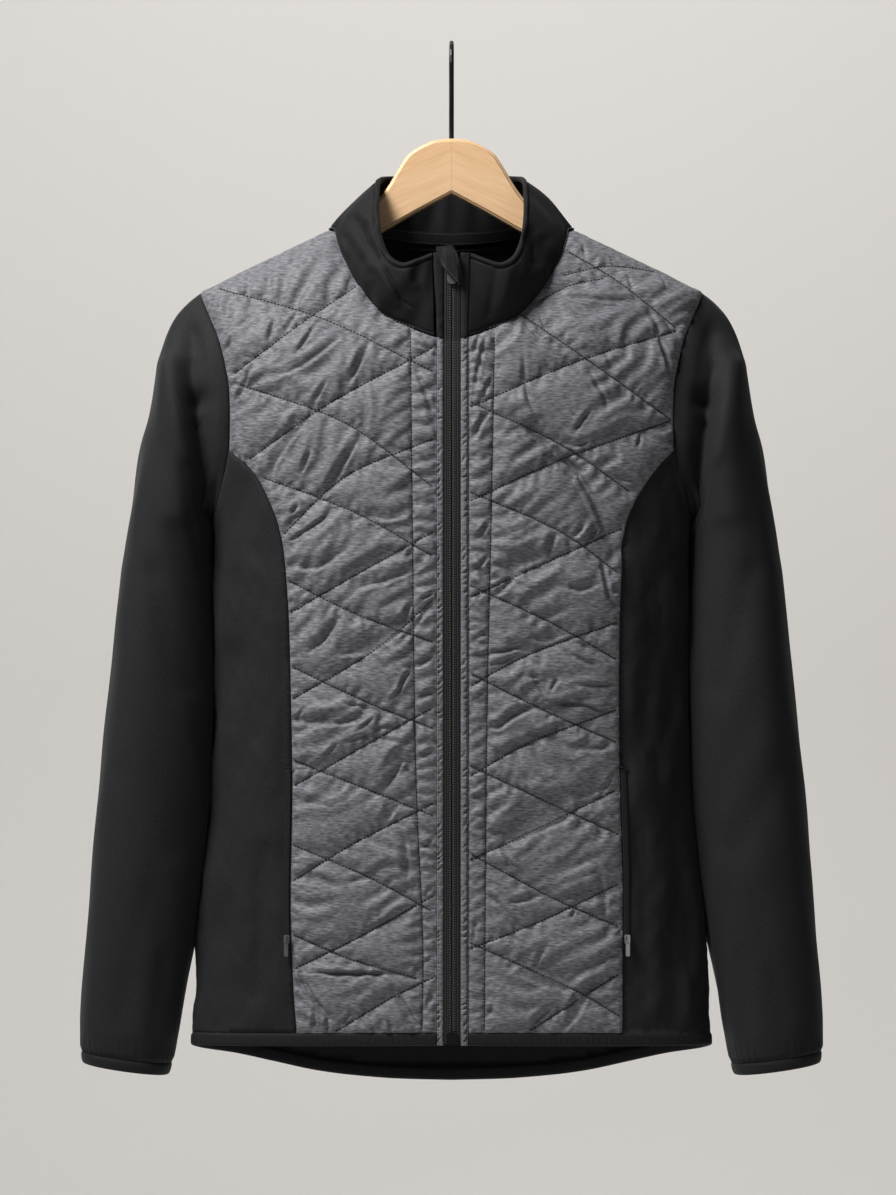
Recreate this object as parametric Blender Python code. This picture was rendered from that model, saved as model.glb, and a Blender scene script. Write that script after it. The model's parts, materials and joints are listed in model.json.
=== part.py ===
"""Quilted jacket on a flat wooden hanger.

Metres, +Z up. The origin is the top of the hook's inside, where it sits on a rod. The jacket faces -Y, and
+X is the wearer's left. Tables are in millimetres, and MM turns them into metres.

The body is one surface of horizontal sections. A place on it is (s, z): s is the distance round the section
from the centre front, positive towards the wearer's left, and z is the height. Every panel is cut from that
surface along the same seam lines, so neighbours meet with an even gap.
"""

import math

import bmesh
import bpy
import numpy as np
from mathutils import Vector
from mathutils.geometry import delaunay_2d_cdt

MM = 0.001

# Cloth
SEAM_GAP = 0.3
SHELL_WALL = 2.6
JERSEY_WALL = 2.0
COLLAR_WALL = 3.4
BINDING_WALL = 3.6
PUFF_HEIGHT = 5.5
PUFF_REACH = 9.0

# Hem and openings
HEM_BINDING_HEIGHT = 10.0
CUFF_BINDING_HEIGHT = 9.5
NECK_FRONT_Z = -244.0
ARMHOLE_TIP_Z = -202.0
UNDERARM_Z = -392.0

# Centre front, from the middle outwards
ZIP_MIDDLE = 0.4
TAPE_OUTER_RIGHT, TAPE_OUTER_LEFT = -6.3, 7.2
STRIP_OUTER_RIGHT, STRIP_OUTER_LEFT = -12.0, 13.4
COLLAR_TOP_FRONT_Z = -174.0
FRONT_HEM_Z = -808.0

# The body's sections, top to bottom: half the width, and the depth in front of and behind the hanger.
BODY_SECTIONS = {
    "z": (-860, -811, -776, -711, -662, -597, -532, -451, -420, -392, -375, -340, -303, -264, -244, -232,
          -223, -212, -203, -197, -188, -180, -172, -164, -156, -150, -146),
    "half_width": (211.5, 210, 208.5, 205.5, 201.5, 195.5, 194, 193, 192.5, 193, 195.5, 200, 203, 205, 205.5,
                   205.5, 205.2, 204.8, 203.8, 192, 175, 158.5, 141.5, 125, 108, 97, 90),
    "front": (52, 54, 55, 57, 59, 63, 67, 71, 72, 72.5, 72.5, 72.5, 72, 69, 66, 60.5, 55.5, 49.5, 45, 42, 37.5,
              33.5, 29.5, 25.5, 19.5, 11.5, 6),
    "back": (50, 53, 55, 57, 58, 58, 57, 55, 54, 53.5, 53, 53, 53, 52, 51.5, 51, 51, 50.5, 50, 49.5, 49, 48, 47,
             44, 32, 13, 7),
}
SECTION_SQUARENESS = 2.4
FOLD_FADE = 14.0
HEM_CALM_Z, SHOULDER_CALM_Z = -800.0, -205.0

# Where the neck seam runs: x out from the middle, z, and 0 on the front or 1 on the back.
NECK_SEAM = {
    "x": (0, 17, 34, 51.7, 63, 74.4, 83.5, 91, 96.3, 88, 60, 30, 0),
    "z": (-244.2, -239.8, -232.6, -223.4, -211.8, -196.7, -181.6, -165.5, -151, -153.5, -159, -164, -166),
    "behind": (0, 0, 0, 0, 0, 0, 0, 0, 0, 1, 1, 1, 1),
}

# The armhole seam, the same on the front and the back.
ARMHOLE = {
    "z": (-392, -384, -375, -360, -340, -325, -303, -282, -264, -242, -220, -210, -202),
    "x": (193, 191.8, 189, 185, 180.5, 178.3, 178, 178.6, 181.5, 187, 196, 200.3, 203.5),
}

# The seam between quilting and side panel, for each side.
PRINCESS_SEAM = {
    "z": (-870, -799, -766, -693, -594, -542, -471, -442, -414, -390, -371, -349, -327),
    "right": (122, 124.4, 126.8, 129.2, 127.6, 128.4, 130, 131.6, 134, 138.8, 146, 157.2, 178.2),
    "left": (137.2, 137.2, 137.2, 137.2, 134.8, 134, 134.4, 135.6, 136.4, 139.6, 147.5, 161.2, 178.2),
}
SIDE_BACK_SEAM_X = 158.0

# The sleeve's points round the armhole, and which of the armhole's points the two side seams start from.
SLEEVE_COLUMNS = 28
PRINCESS_AT = 9
SIDE_BACK_AT = 10

# The hem's lower edge, by share of the way from centre front to centre back.
HEM = {
    "share": (0, 0.25, 0.45, 0.5, 0.554, 0.609, 0.681, 0.761, 0.826, 0.913, 1),
    "z": (-808, -809, -811, -813, -818, -822.5, -830.3, -838.6, -842.7, -845.8, -846.8),
}

# Quilting, the wearer's right front: each row runs from (x, z) to (x, z), the middle point bends it.
QUILT_RIGHT = (
    # x0, z0, x1, z1, x2, z2
    (-174, -269, -111, -223, -76, -199),
    (-162, -338, -104, -298, -8, -246),
    (-134, -398, -84, -352, -8, -320),
    (-130, -462, -82, -434, -8, -393),
    (-128, -531, -62, -491, -8, -445),
    (-128, -601, -60, -562, -8, -533),
    (-128, -677, -82, -648, -8, -610),
    (-128, -748, -76, -722, -8, -684),
    (-98, -800, -45, -768, -8, -750),
    (-187, -200, -111, -223, -8, -272),
    (-173, -277, -88, -308, -8, -366),
    (-150, -353, -77, -381, -8, -420),
    (-131, -435, -76, -462, -8, -487),
    (-128, -504, -64, -534, -8, -556),
    (-127, -579, -68, -602, -8, -626),
    (-127, -647, -68, -672, -8, -704),
    (-128, -719, -80, -739, -28, -754),
)
QUILT_LEFT = (
    (90, -190, 130, -182, 165, -186),
    (70, -212, 97, -198, 124, -192),
    (8, -300, 107, -258, 180, -235),
    (8, -375, 90, -338, 178, -306),
    (8, -452, 60, -428, 138, -393),
    (8, -524, 56, -497, 134, -468),
    (8, -596, 60, -566, 134, -538),
    (8, -662, 60, -638, 134, -602),
    (8, -733, 76, -706, 135, -678),
    (63, -796, 107, -768, 136, -750),
    (94, -170, 130, -192, 180, -232),
    (54, -222, 107, -258, 178, -308),
    (8, -290, 86, -326, 142, -364),
    (8, -362, 88, -397, 134, -430),
    (8, -436, 85, -472, 134, -500),
    (8, -506, 76, -540, 134, -566),
    (8, -580, 84, -616, 136, -640),
    (8, -650, 86, -692, 136, -714),
    (8, -722, 107, -768, 136, -786),
)
FACING_STITCH = {
    "z": (-803, -740, -612, -548, -372, -236),
    "right": (-24, -23, -28, -29.5, -31.6, -33),
    "left": (26, 26.4, 27.4, 28, 31.6, 34),
}

# Soft folds on the body: from (x, z) to (x, z), how wide, how deep (a trough is below 0), 0 front or 1 back.
BODY_FOLDS = (
    # x0, z0, x1, z1, width, depth, behind
    (66, -316, 96, -344, 9, -5.0, 0),
    (96, -344, 130, -410, 9, -5.5, 0),
    (-150, -300, -120, -360, 14, -2.5, 0),
    (-178, -500, -186, -760, 16, -4.0, 0),
    (-158, -430, -150, -640, 14, 3.0, 0),
    (176, -480, 188, -740, 15, -4.0, 0),
    (156, -600, 162, -790, 14, 3.0, 0),
    (-90, -230, -60, -520, 20, -4.5, 1),
    (-20, -330, -34, -800, 24, -5.5, 1),
    (60, -300, 74, -780, 22, -5.0, 1),
    (120, -260, 104, -480, 18, -4.0, 1),
    (-130, -400, -120, -790, 20, -5.0, 1),
    (18, -560, 24, -840, 18, 4.0, 1),
)

# Sleeves, the wearer's left one: by distance down the crown line.
CROWN = {
    "z": (-831, -825, -817, -809, -797, -776, -736, -695, -654, -614, -573, -532, -492, -451, -410, -370, -328,
          -305, -268, -243.7, -223.4, -209.5, -202),
    "x": (297.5, 298.5, 299.5, 300.5, 301, 300, 297, 293.5, 290.5, 287, 283, 278.5, 274, 269.5, 264.5, 258.5,
          252, 245.6, 239, 233.5, 225, 213, 203.5),
}
UNDER = {
    "step": (0, 1, 2, 3, 4, 5, 6, 7, 8, 9, 10, 11, 12),
    "z": (-391.8, -388.6, -394, -420, -470, -532, -597, -662, -711, -757, -797, -817, -837),
    "x": (193, 196.5, 197.5, 196.5, 193, 191.5, 191.5, 196.5, 205.5, 215, 221.6, 226, 231.5),
}
SLEEVE_RINGS = {
    # millimetres down the crown, step along the under line, depth in front of and behind the middle
    "down": (0, 12, 28, 60, 120, 190, 300, 420, 520, 590, 615, 630, 641),
    "under": (0, 0.8, 1.5, 2.0, 2.25, 2.75, 4.7, 6.3, 7.85, 9.4, 10.5, 11.45, 12),
    "front": (42, 43, 44, 45, 48, 53, 56, 53, 46, 38.5, 35.5, 33, 31),
    "back": (30, 31, 33, 38, 44, 48, 50, 48, 45, 42, 37, 34, 32),
    # how far behind the middle the under line lies
    "set_back": (0, 0, 0, 0, 6, 14, 20, 20, 12, 2, 0, 0, 0),
}
SLEEVE_SQUARENESS = 2.2
SLEEVE_CLEARANCE = 3.5
CUFF_SEAM_DOWN = 630.0
CUFF_GATHER_DEPTH, CUFF_GATHER_DOWN, CUFF_GATHER_REACH = 1.0, 615.0, 9.0
SLEEVE_FOLDS = (
    # x0, z0, x1, z1, width, depth, behind
    (209, -236, 203, -290, 9, -9.0, 0),
    (203, -290, 194, -376, 9, -10.0, 0),
    (226, -262, 222, -380, 11, 4.0, 0),
    (240, -430, 216, -520, 12, -4.5, 0),
    (262, -590, 226, -650, 13, -4.0, 0),
    (246, -690, 268, -790, 10, -3.0, 0),
    (212, -240, 206, -330, 11, -7.0, 1),
    (230, -330, 210, -440, 13, -6.0, 1),
    (268, -520, 226, -600, 13, -5.0, 1),
    (244, -660, 262, -760, 12, -4.0, 1),
)

# The collar's top edge against the neck seam, front to back.
COLLAR_TOP = {
    "x": (16, 27, 38.5, 48, 54, 57, 58.5, 58, 54, 38, 20, 0),
    "y": (-69, -72, -73, -69, -61, -51, -34, -9, 12, 34, 44, 47),
    "z": (-174, -178.5, -182, -177, -165, -152, -133, -112, -106, -103, -101, -100.5),
    "neck_index": (0.8, 2, 3, 4, 5, 6, 7, 8, 9, 10, 11, 12),
    "bulge": (1, 3, 7, 8, 6, 4, 2, 2, 2, 2, 1.5, 1.5),
}

# The hanger, right half: top and lower outlines from the middle outwards.
HANGER_THICKNESS = 12.0
HANGER_TOP = {
    "x": (0, 12, 24, 34.6, 42.7, 51, 59.5, 72, 86, 95),
    "z": (-76, -77.2, -81.8, -88.5, -100, -114, -125.5, -137.5, -149, -154.8),
}
HANGER_FOOT = {
    "x": (0, 28, 55, 100, 150, 178, 190),
    "z": (-121, -136, -151.5, -177, -200, -211, -212),
}
HANGER_TIP_X = 194.0
HANGER_UNDER_CLOTH = 2.5

# The hook
HOOK_WIRE = 4.0
HOOK_INNER_RADIUS = 16.0


def curve_through(at, values, where):
    """A smooth curve through the table's points that never overshoots them. The table may run either way."""
    at, values = np.asarray(at, float), np.asarray(values, float)
    if at[0] > at[-1]:
        at, values = at[::-1], values[::-1]
    where = np.clip(np.asarray(where, float), at[0], at[-1])
    gap = np.diff(at)
    slope = np.diff(values) / gap
    tangent = np.zeros(len(at))
    same = slope[:-1] * slope[1:] > 0
    tangent[1:-1][same] = 2 * slope[:-1][same] * slope[1:][same] / (slope[:-1] + slope[1:])[same]
    tangent[0], tangent[-1] = slope[0], slope[-1]
    i = np.clip(np.searchsorted(at, where, side="right") - 1, 0, len(gap) - 1)
    t = (where - at[i]) / gap[i]
    return (
        (1 + 2 * t) * (1 - t) ** 2 * values[i]
        + t * (1 - t) ** 2 * gap[i] * tangent[i]
        + t * t * (3 - 2 * t) * values[i + 1]
        + t * t * (t - 1) * gap[i] * tangent[i + 1]
    )


def column(table, name, key, where):
    return curve_through(table[key], table[name], where)


def unit(vectors):
    return vectors / np.maximum(np.linalg.norm(vectors, axis=-1, keepdims=True), 1e-9)


# ---------------------------------------------------------------- the body's surface

TURNS = 120
LEVEL_STEP = 2.0
LEVELS = np.arange(-860, -145.9, LEVEL_STEP)


def half_sections():
    """x, y and distance round from the centre front, for each level and each turn from front to back."""
    turn = np.linspace(0, math.pi, TURNS + 1)
    power = 2 / SECTION_SQUARENESS
    wide = np.abs(np.sin(turn)) ** power
    deep = np.abs(np.cos(turn)) ** power
    half = column(BODY_SECTIONS, "half_width", "z", LEVELS)[:, None]
    front = column(BODY_SECTIONS, "front", "z", LEVELS)[:, None]
    back = column(BODY_SECTIONS, "back", "z", LEVELS)[:, None]
    x = half * wide
    y = np.where(turn <= math.pi / 2, -front * deep, back * deep)
    steps = np.hypot(np.diff(x, axis=1), np.diff(y, axis=1))
    around = np.concatenate([np.zeros((len(LEVELS), 1)), np.cumsum(steps, axis=1)], axis=1)
    return x, y, around


SECTION_X, SECTION_Y, SECTION_AROUND = half_sections()


def at_level(table, z):
    """The table's row at each height, mixed from the two nearest levels."""
    place = np.clip((np.asarray(z, float) - LEVELS[0]) / LEVEL_STEP, 0, len(LEVELS) - 1.001)
    i = place.astype(int)
    t = (place - i)[:, None]
    return table[i] * (1 - t) + table[i + 1] * t


def lookup(rows_from, rows_to, value):
    """For each row, what rows_to holds where rows_from, which rises, reaches value."""
    i = np.clip((rows_from <= value[:, None]).sum(axis=1) - 1, 0, rows_from.shape[1] - 2)
    k = np.arange(len(value))
    low, high = rows_from[k, i], rows_from[k, i + 1]
    t = np.clip((value - low) / np.maximum(high - low, 1e-9), 0, 1)
    return rows_to[k, i] * (1 - t) + rows_to[k, i + 1] * t


def bare_surface(s, z):
    s, z = np.asarray(s, float), np.asarray(z, float)
    around = at_level(SECTION_AROUND, z)
    side = np.where(s < 0, -1.0, 1.0)
    x = lookup(around, at_level(SECTION_X, z), np.abs(s)) * side
    y = lookup(around, at_level(SECTION_Y, z), np.abs(s))
    return np.stack([x, y, z], axis=1)


def half_round(z):
    return at_level(SECTION_AROUND, z)[:, -1]


def s_of_x(x, z, behind=0):
    """The distance round at which the section at z reaches x, on the front or on the back."""
    x, z = np.broadcast_arrays(np.asarray(x, float), np.asarray(z, float))
    x, z = np.atleast_1d(x), np.atleast_1d(z)
    xs, around = at_level(SECTION_X, z), at_level(SECTION_AROUND, z)
    middle = TURNS // 2
    front = lookup(xs[:, : middle + 1], around[:, : middle + 1], np.abs(x))
    back = lookup(xs[:, :middle - 1:-1], around[:, :middle - 1:-1], np.abs(x))
    return np.where(np.broadcast_to(behind, x.shape) > 0, back, front) * np.where(x < 0, -1.0, 1.0)


def surface_normal(s, z):
    step = 1.0
    z = np.clip(np.asarray(z, float), LEVELS[0] + 2, LEVELS[-1] - 2)
    s = np.asarray(s, float)
    along = bare_surface(s + step, z) - bare_surface(s - step, z)
    up = bare_surface(s, z + step) - bare_surface(s, z - step)
    return unit(np.cross(along, up))


def from_segment(x, z, x0, z0, x1, z1):
    """Each point's distance from the line between two points."""
    dx, dz = x1 - x0, z1 - z0
    along = ((x - x0) * dx + (z - z0) * dz) / (dx * dx + dz * dz)
    t = np.clip(along, 0, 1)
    return np.hypot(x - x0 - t * dx, z - z0 - t * dz)


def fold_height(points, folds):
    """How far the folds move each point outwards. They fade out beside the hanger's plane."""
    height = np.zeros(len(points))
    behind = points[:, 1] > 0
    for x0, z0, x1, z1, width, depth, is_behind in folds:
        away = from_segment(points[:, 0], points[:, 2], x0, z0, x1, z1)
        height += np.where(behind == bool(is_behind), depth * np.exp(-((away / width) ** 2)), 0)
    return height * np.clip(np.abs(points[:, 1]) / FOLD_FADE, 0, 1)


def surface(s, z, out=0.0):
    """Points of the body's middle layer, folds included, moved out along its normals."""
    points = bare_surface(s, z)
    normals = surface_normal(s, z)
    height = fold_height(points, BODY_FOLDS) * seam_calm(z)
    return points + normals * (height + out)[:, None]


def seam_calm(z):
    """Folds fade out towards the hem and the shoulders, where the binding and the hanger hold the cloth."""
    z = np.asarray(z, float)
    hem = np.clip((z - HEM_CALM_Z) / 25, 0, 1)
    top = np.clip((SHOULDER_CALM_Z - z) / 20, 0, 1)
    return hem * top


# ---------------------------------------------------------------- making meshes

def material(name, colour, roughness, metallic=0.0):
    made = bpy.data.materials.new(name)
    made.use_nodes = True
    shader = made.node_tree.nodes["Principled BSDF"]
    shader.inputs["Base Color"].default_value = (*colour, 1)
    shader.inputs["Roughness"].default_value = roughness
    shader.inputs["Metallic"].default_value = metallic
    made.diffuse_color = (*colour, 1)
    return made


def solid(name, points, faces, finish, smooth_angle=50):
    """One closed mesh object, its faces turned outwards; points are in millimetres."""
    mesh = bpy.data.meshes.new(name)
    mesh.from_pydata([Vector(p) * MM for p in points], [], [tuple(int(i) for i in f) for f in faces])
    work = bmesh.new()
    work.from_mesh(mesh)
    bmesh.ops.recalc_face_normals(work, faces=work.faces)
    if work.calc_volume(signed=True) < 0:
        bmesh.ops.reverse_faces(work, faces=work.faces)
    work.to_mesh(mesh)
    work.free()
    mesh.shade_smooth()
    mesh.set_sharp_from_angle(angle=math.radians(smooth_angle))
    mesh.materials.append(finish)
    thing = bpy.data.objects.new(name, mesh)
    bpy.context.scene.collection.objects.link(thing)
    return thing


def ring_faces(first, second, closed):
    """Quads between two rows of vertex numbers."""
    count = len(first) if closed else len(first) - 1
    after = [(i + 1) % len(first) for i in range(count)]
    return [(first[i], first[j], second[j], second[i]) for i, j in enumerate(after)]


def walled(name, outer, inner, finish, closed=False, smooth_angle=50):
    """A wall between an outer and an inner grid of points. Only a closed tube may have fewer inner rows."""
    rows, across = outer.shape[:2]
    inner_rows = inner.shape[0]
    over = np.arange(rows * across).reshape(rows, across)
    under = np.arange(inner_rows * across).reshape(inner_rows, across) + rows * across
    faces = []
    for grid in (over, under):
        for first, second in zip(grid[:-1], grid[1:]):
            faces += ring_faces(first, second, closed)
    for edge_out, edge_in in ((over[0], under[0]), (over[-1], under[-1])):
        faces += ring_faces(edge_out, edge_in, closed)
    if not closed:
        for side in (0, -1):
            faces += ring_faces(over[:, side], under[:, side], False)
    points = np.concatenate([outer.reshape(-1, 3), inner.reshape(-1, 3)])
    return solid(name, points, faces, finish, smooth_angle)


def grid_normals(grid, closed):
    """The unit normals of a grid of points, from its neighbours; rows run down and columns round."""
    if closed:
        along = np.roll(grid, -1, axis=1) - np.roll(grid, 1, axis=1)
    else:
        along = np.gradient(grid, axis=1)
    return unit(np.cross(along, np.gradient(grid, axis=0)))


# ---------------------------------------------------------------- seams, as (s, z) lines on the wearer's left

def spaced(line, pitch):
    """The line again, its points about pitch apart, both ends kept."""
    line = np.asarray(line, float)
    along = np.concatenate([[0], np.cumsum(np.linalg.norm(np.diff(line, axis=0), axis=1))])
    at = np.linspace(0, along[-1], max(2, round(along[-1] / pitch) + 1))
    return np.stack([np.interp(at, along, line[:, k]) for k in range(2)], axis=1)


def neck_line():
    """The neck seam from centre front to centre back."""
    s = s_of_x(NECK_SEAM["x"], NECK_SEAM["z"], np.array(NECK_SEAM["behind"]))
    row = np.arange(len(s))
    at = np.linspace(0, len(s) - 1, 241)
    return np.stack([curve_through(row, s, at), curve_through(row, NECK_SEAM["z"], at)], axis=1)


NECK = neck_line()
SHOULDER_CORNER = 170


def neck_z(s):
    return np.interp(s, NECK[:, 0], NECK[:, 1])


def ridge_s(z):
    return at_level(SECTION_AROUND, z)[:, TURNS // 2]


def shoulder_line():
    """The shoulder seam, from the neck to the armhole's tip, a little behind the ridge."""
    corner = NECK[SHOULDER_CORNER]
    z = np.linspace(corner[1], ARMHOLE_TIP_Z, 60)
    t = (z - corner[1]) / (ARMHOLE_TIP_Z - corner[1])
    start = corner[0] - ridge_s(corner[1:])[0]
    return np.stack([ridge_s(z) + start * (1 - t), z], axis=1)


def armhole_line(behind):
    """The front or back of the armhole seam, from its tip to the underarm, both on the ridge's line."""
    t = np.linspace(0, 1, 90)
    z = ARMHOLE_TIP_Z + (UNDERARM_Z - ARMHOLE_TIP_Z) * (3 * t * t - 2 * t**3)
    s = s_of_x(column(ARMHOLE, "x", "z", z), z, behind)
    on_ridge = (z >= ARMHOLE_TIP_Z) | (z <= UNDERARM_Z)
    return np.stack([np.where(on_ridge, ridge_s(z), s), z], axis=1)


def spaced_to(line, parts):
    """The line as that many equal stretches."""
    along = np.concatenate([[0], np.cumsum(np.linalg.norm(np.diff(line, axis=0), axis=1))])
    at = np.linspace(0, along[-1], parts + 1)
    return np.stack([np.interp(at, along, line[:, k]) for k in range(2)], axis=1)


# The armhole seam's points, from its tip down to the underarm, which body and sleeve share.
ARMHOLE_FRONT = spaced_to(armhole_line(0), SLEEVE_COLUMNS // 2)
ARMHOLE_BACK = spaced_to(armhole_line(1), SLEEVE_COLUMNS // 2)


def princess_line(side, low):
    s_top, z_top = ARMHOLE_FRONT[PRINCESS_AT]
    z = np.linspace(z_top, low, 120)
    s = s_of_x(column(PRINCESS_SEAM, "right" if side < 0 else "left", "z", z), z)
    s += (s_top - s[0]) * np.exp((z - z_top) / 12)
    return np.stack([s, z], axis=1)


def side_back_line(low):
    s_top, z_top = ARMHOLE_BACK[SIDE_BACK_AT]
    z = np.linspace(z_top, low, 100)
    s = s_of_x(np.full(100, SIDE_BACK_SEAM_X), z, 1)
    s += (s_top - s[0]) * np.exp((z - z_top) / 26)
    return np.stack([s, z], axis=1)


HEM_HALF_ROUND = float(half_round(np.array([FRONT_HEM_Z]))[0])


def hem_z(s):
    """The height of the hem's lower edge at a distance round from the centre front."""
    return column(HEM, "z", "share", np.abs(s) / HEM_HALF_ROUND)


def join_lines(*lines):
    """One closed outline from lines laid end to end, without the doubled corners."""
    points = [lines[0]]
    for line in lines[1:]:
        points.append(line[1:] if np.allclose(points[-1][-1], line[0], atol=0.05) else line)
    outline = np.concatenate(points)
    return outline[:-1] if np.allclose(outline[0], outline[-1], atol=0.05) else outline


def inset(outline, by):
    """The closed outline with each point moved inwards."""
    before, after = outline - np.roll(outline, 1, axis=0), np.roll(outline, -1, axis=0) - outline
    twice_area = np.sum(outline[:, 0] * np.roll(outline[:, 1], -1) - outline[:, 1] * np.roll(outline[:, 0], -1))
    turn = 1.0 if twice_area > 0 else -1.0
    left = [np.stack([-d[:, 1], d[:, 0]], axis=1) * turn for d in (unit(before), unit(after))]
    both = left[0] + left[1]
    stretch = np.maximum(np.sum(both * left[0], axis=1, keepdims=True), 0.5)
    return outline + both / stretch * by


# ---------------------------------------------------------------- panels

def inside(points, outline):
    """Whether each point is inside the closed outline."""
    x, y = points[:, 0][:, None], points[:, 1][:, None]
    a, b = outline, np.roll(outline, -1, axis=0)
    rise = np.where(b[:, 1] == a[:, 1], 1e-12, b[:, 1] - a[:, 1])
    crosses = (a[:, 1] > y) != (b[:, 1] > y)
    return (crosses & (x < a[:, 0] + (y - a[:, 1]) * (b[:, 0] - a[:, 0]) / rise)).sum(axis=1) % 2 == 1


def distance_to(points, starts, ends):
    """Each point's distance to the nearest of the segments."""
    best = np.full(len(points), 1e9)
    for a, b in zip(starts, ends):
        away = from_segment(points[:, 0], points[:, 1], a[0], a[1], b[0], b[1])
        best = np.minimum(best, away)
    return best


def segments(lines):
    starts = [line[:-1] for line in lines]
    ends = [line[1:] for line in lines]
    return (np.concatenate(starts), np.concatenate(ends)) if lines else (np.zeros((0, 2)), np.zeros((0, 2)))


def triangulated(outline, lines, pitch):
    """(points, triangles, place of each outline point) of the outline's inside, with edges along the lines."""
    low, high = outline.min(axis=0), outline.max(axis=0)
    rows = np.arange(low[1] + pitch / 2, high[1], pitch * math.sqrt(3) / 2)
    grid = [
        (x + (pitch / 2 if k % 2 else 0), z)
        for k, z in enumerate(rows)
        for x in np.arange(low[0], high[0], pitch)
    ]
    grid = np.array(grid)
    starts, ends = segments([np.concatenate([outline, outline[:1]])] + lines)
    grid = grid[inside(grid, outline)]
    grid = grid[distance_to(grid, starts, ends) > 0.55 * pitch]
    points, edges = [outline], [(i, (i + 1) % len(outline)) for i in range(len(outline))]
    count = len(outline)
    for line in lines:
        edges += [(count + i, count + i + 1) for i in range(len(line) - 1)]
        count += len(line)
        points.append(line)
    points = np.concatenate(points + [grid])
    found = delaunay_2d_cdt([Vector(p) for p in points], edges, [], 0, 1e-4, True)
    place = {source: i for i, sources in enumerate(found[3]) for source in sources}
    points, faces = np.array([tuple(v) for v in found[0]]), np.array([tuple(f) for f in found[2]])
    faces = faces[inside(points[faces].mean(axis=1), outline)]
    return points, [tuple(f) for f in faces], place


def clipped(line, outline, margin):
    """The stretch of the line that lies inside the outline and clear of its edge."""
    fine = spaced(line, 1.5)
    starts, ends = segments([np.concatenate([outline, outline[:1]])])
    good = inside(fine, outline) & (distance_to(fine, starts, ends) > margin)
    kept = np.flatnonzero(good)
    return fine[kept[0] : kept[-1] + 1] if len(kept) > 3 else None


def puff(points, outline, lines):
    """How high the padding stands at each point: nothing on a stitch line, full between the lines."""
    starts, ends = segments([np.concatenate([outline, outline[:1]])] + lines)
    away = distance_to(points, starts, ends)
    uneven = 1 + 0.14 * np.sin(points[:, 0] / 19 + points[:, 1] / 31) * np.sin(points[:, 1] / 17 - 1)
    return PUFF_HEIGHT * uneven * (1 - np.exp(-((away / PUFF_REACH) ** 1.3)))


def panel(name, outline, place, wall, finish, pitch, inner_pitch, lines=(), guides=(), guide_pitch=13.0):
    """A cloth panel: the outline's inside as a wall, puffed up between its stitch lines where it has any.
    Guides are lines along a tight bend, which the faces of both layers follow."""
    outline = inset(outline, SEAM_GAP / 2)
    lines = [clipped(line, outline, STITCH_CLEAR) for line in lines]
    lines = [spaced(c, pitch) for c in lines if c is not None]
    guides = [clipped(line, outline, STITCH_CLEAR) for line in guides]
    guides = [spaced(c, guide_pitch) for c in guides if c is not None]
    over, over_faces, over_place = triangulated(outline, lines + guides, pitch)
    under, under_faces, under_place = triangulated(outline, guides, inner_pitch)
    height = puff(over, outline, lines) if lines else np.zeros(len(over))
    outer = place(over[:, 0], over[:, 1], wall / 2 + height)
    inner = place(under[:, 0], under[:, 1], np.full(len(under), -wall / 2))
    shift = len(over)
    faces = list(over_faces) + [tuple(i + shift for i in reversed(f)) for f in under_faces]
    for i in range(len(outline)):
        j = (i + 1) % len(outline)
        faces.append((over_place[j], over_place[i], under_place[i] + shift, under_place[j] + shift))
    return solid(name, np.concatenate([outer, inner]), faces, finish)


def on_back(b, z, out):
    """The same surface by the distance round from the centre back, positive towards the wearer's left."""
    s = np.where(b < 0, -1.0, 1.0) * (half_round(z) - np.abs(b))
    return surface(s, z, out)


# ---------------------------------------------------------------- the body's pieces

FINE_PITCH = 11.0
PLAIN_PITCH = 32.0
STITCH_CLEAR = 2.5
SIDE_BEND = {"z": (UNDERARM_Z - 13, -835.0), "behind": (-36, -12, 12, 36)}
FRONT_SHOULDER_BEND = {"z": (-153.0, -212.0), "behind": (0, -5, -12, -24)}
BACK_SHOULDER_BEND = {"z": (-153.0, -212.0), "behind": (12, 24)}


def bend_guides(bend):
    """Lines on the wearer's left along the body's side bend, by distance behind it."""
    z = np.linspace(*bend["z"], 60)
    return [np.stack([ridge_s(z) + offset, z], axis=1) for offset in bend["behind"]]


def quilt_lines(side):
    """The stitch lines of one front, as (s, z) lines on the wearer's left."""
    lines = []
    for x0, z0, x1, z1, x2, z2 in QUILT_RIGHT if side < 0 else QUILT_LEFT:
        t = np.linspace(0, 1, 25)
        x = np.abs(curve_through((0, 0.5, 1), (x0, x1, x2), t))
        z = curve_through((0, 0.5, 1), (z0, z1, z2), t)
        lines.append(np.stack([s_of_x(x, z), z], axis=1))
    z = np.linspace(FACING_STITCH["z"][0], FACING_STITCH["z"][-1], 60)
    x = np.abs(column(FACING_STITCH, "right" if side < 0 else "left", "z", z))
    lines.append(np.stack([s_of_x(x, z), z], axis=1))
    return lines


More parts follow.
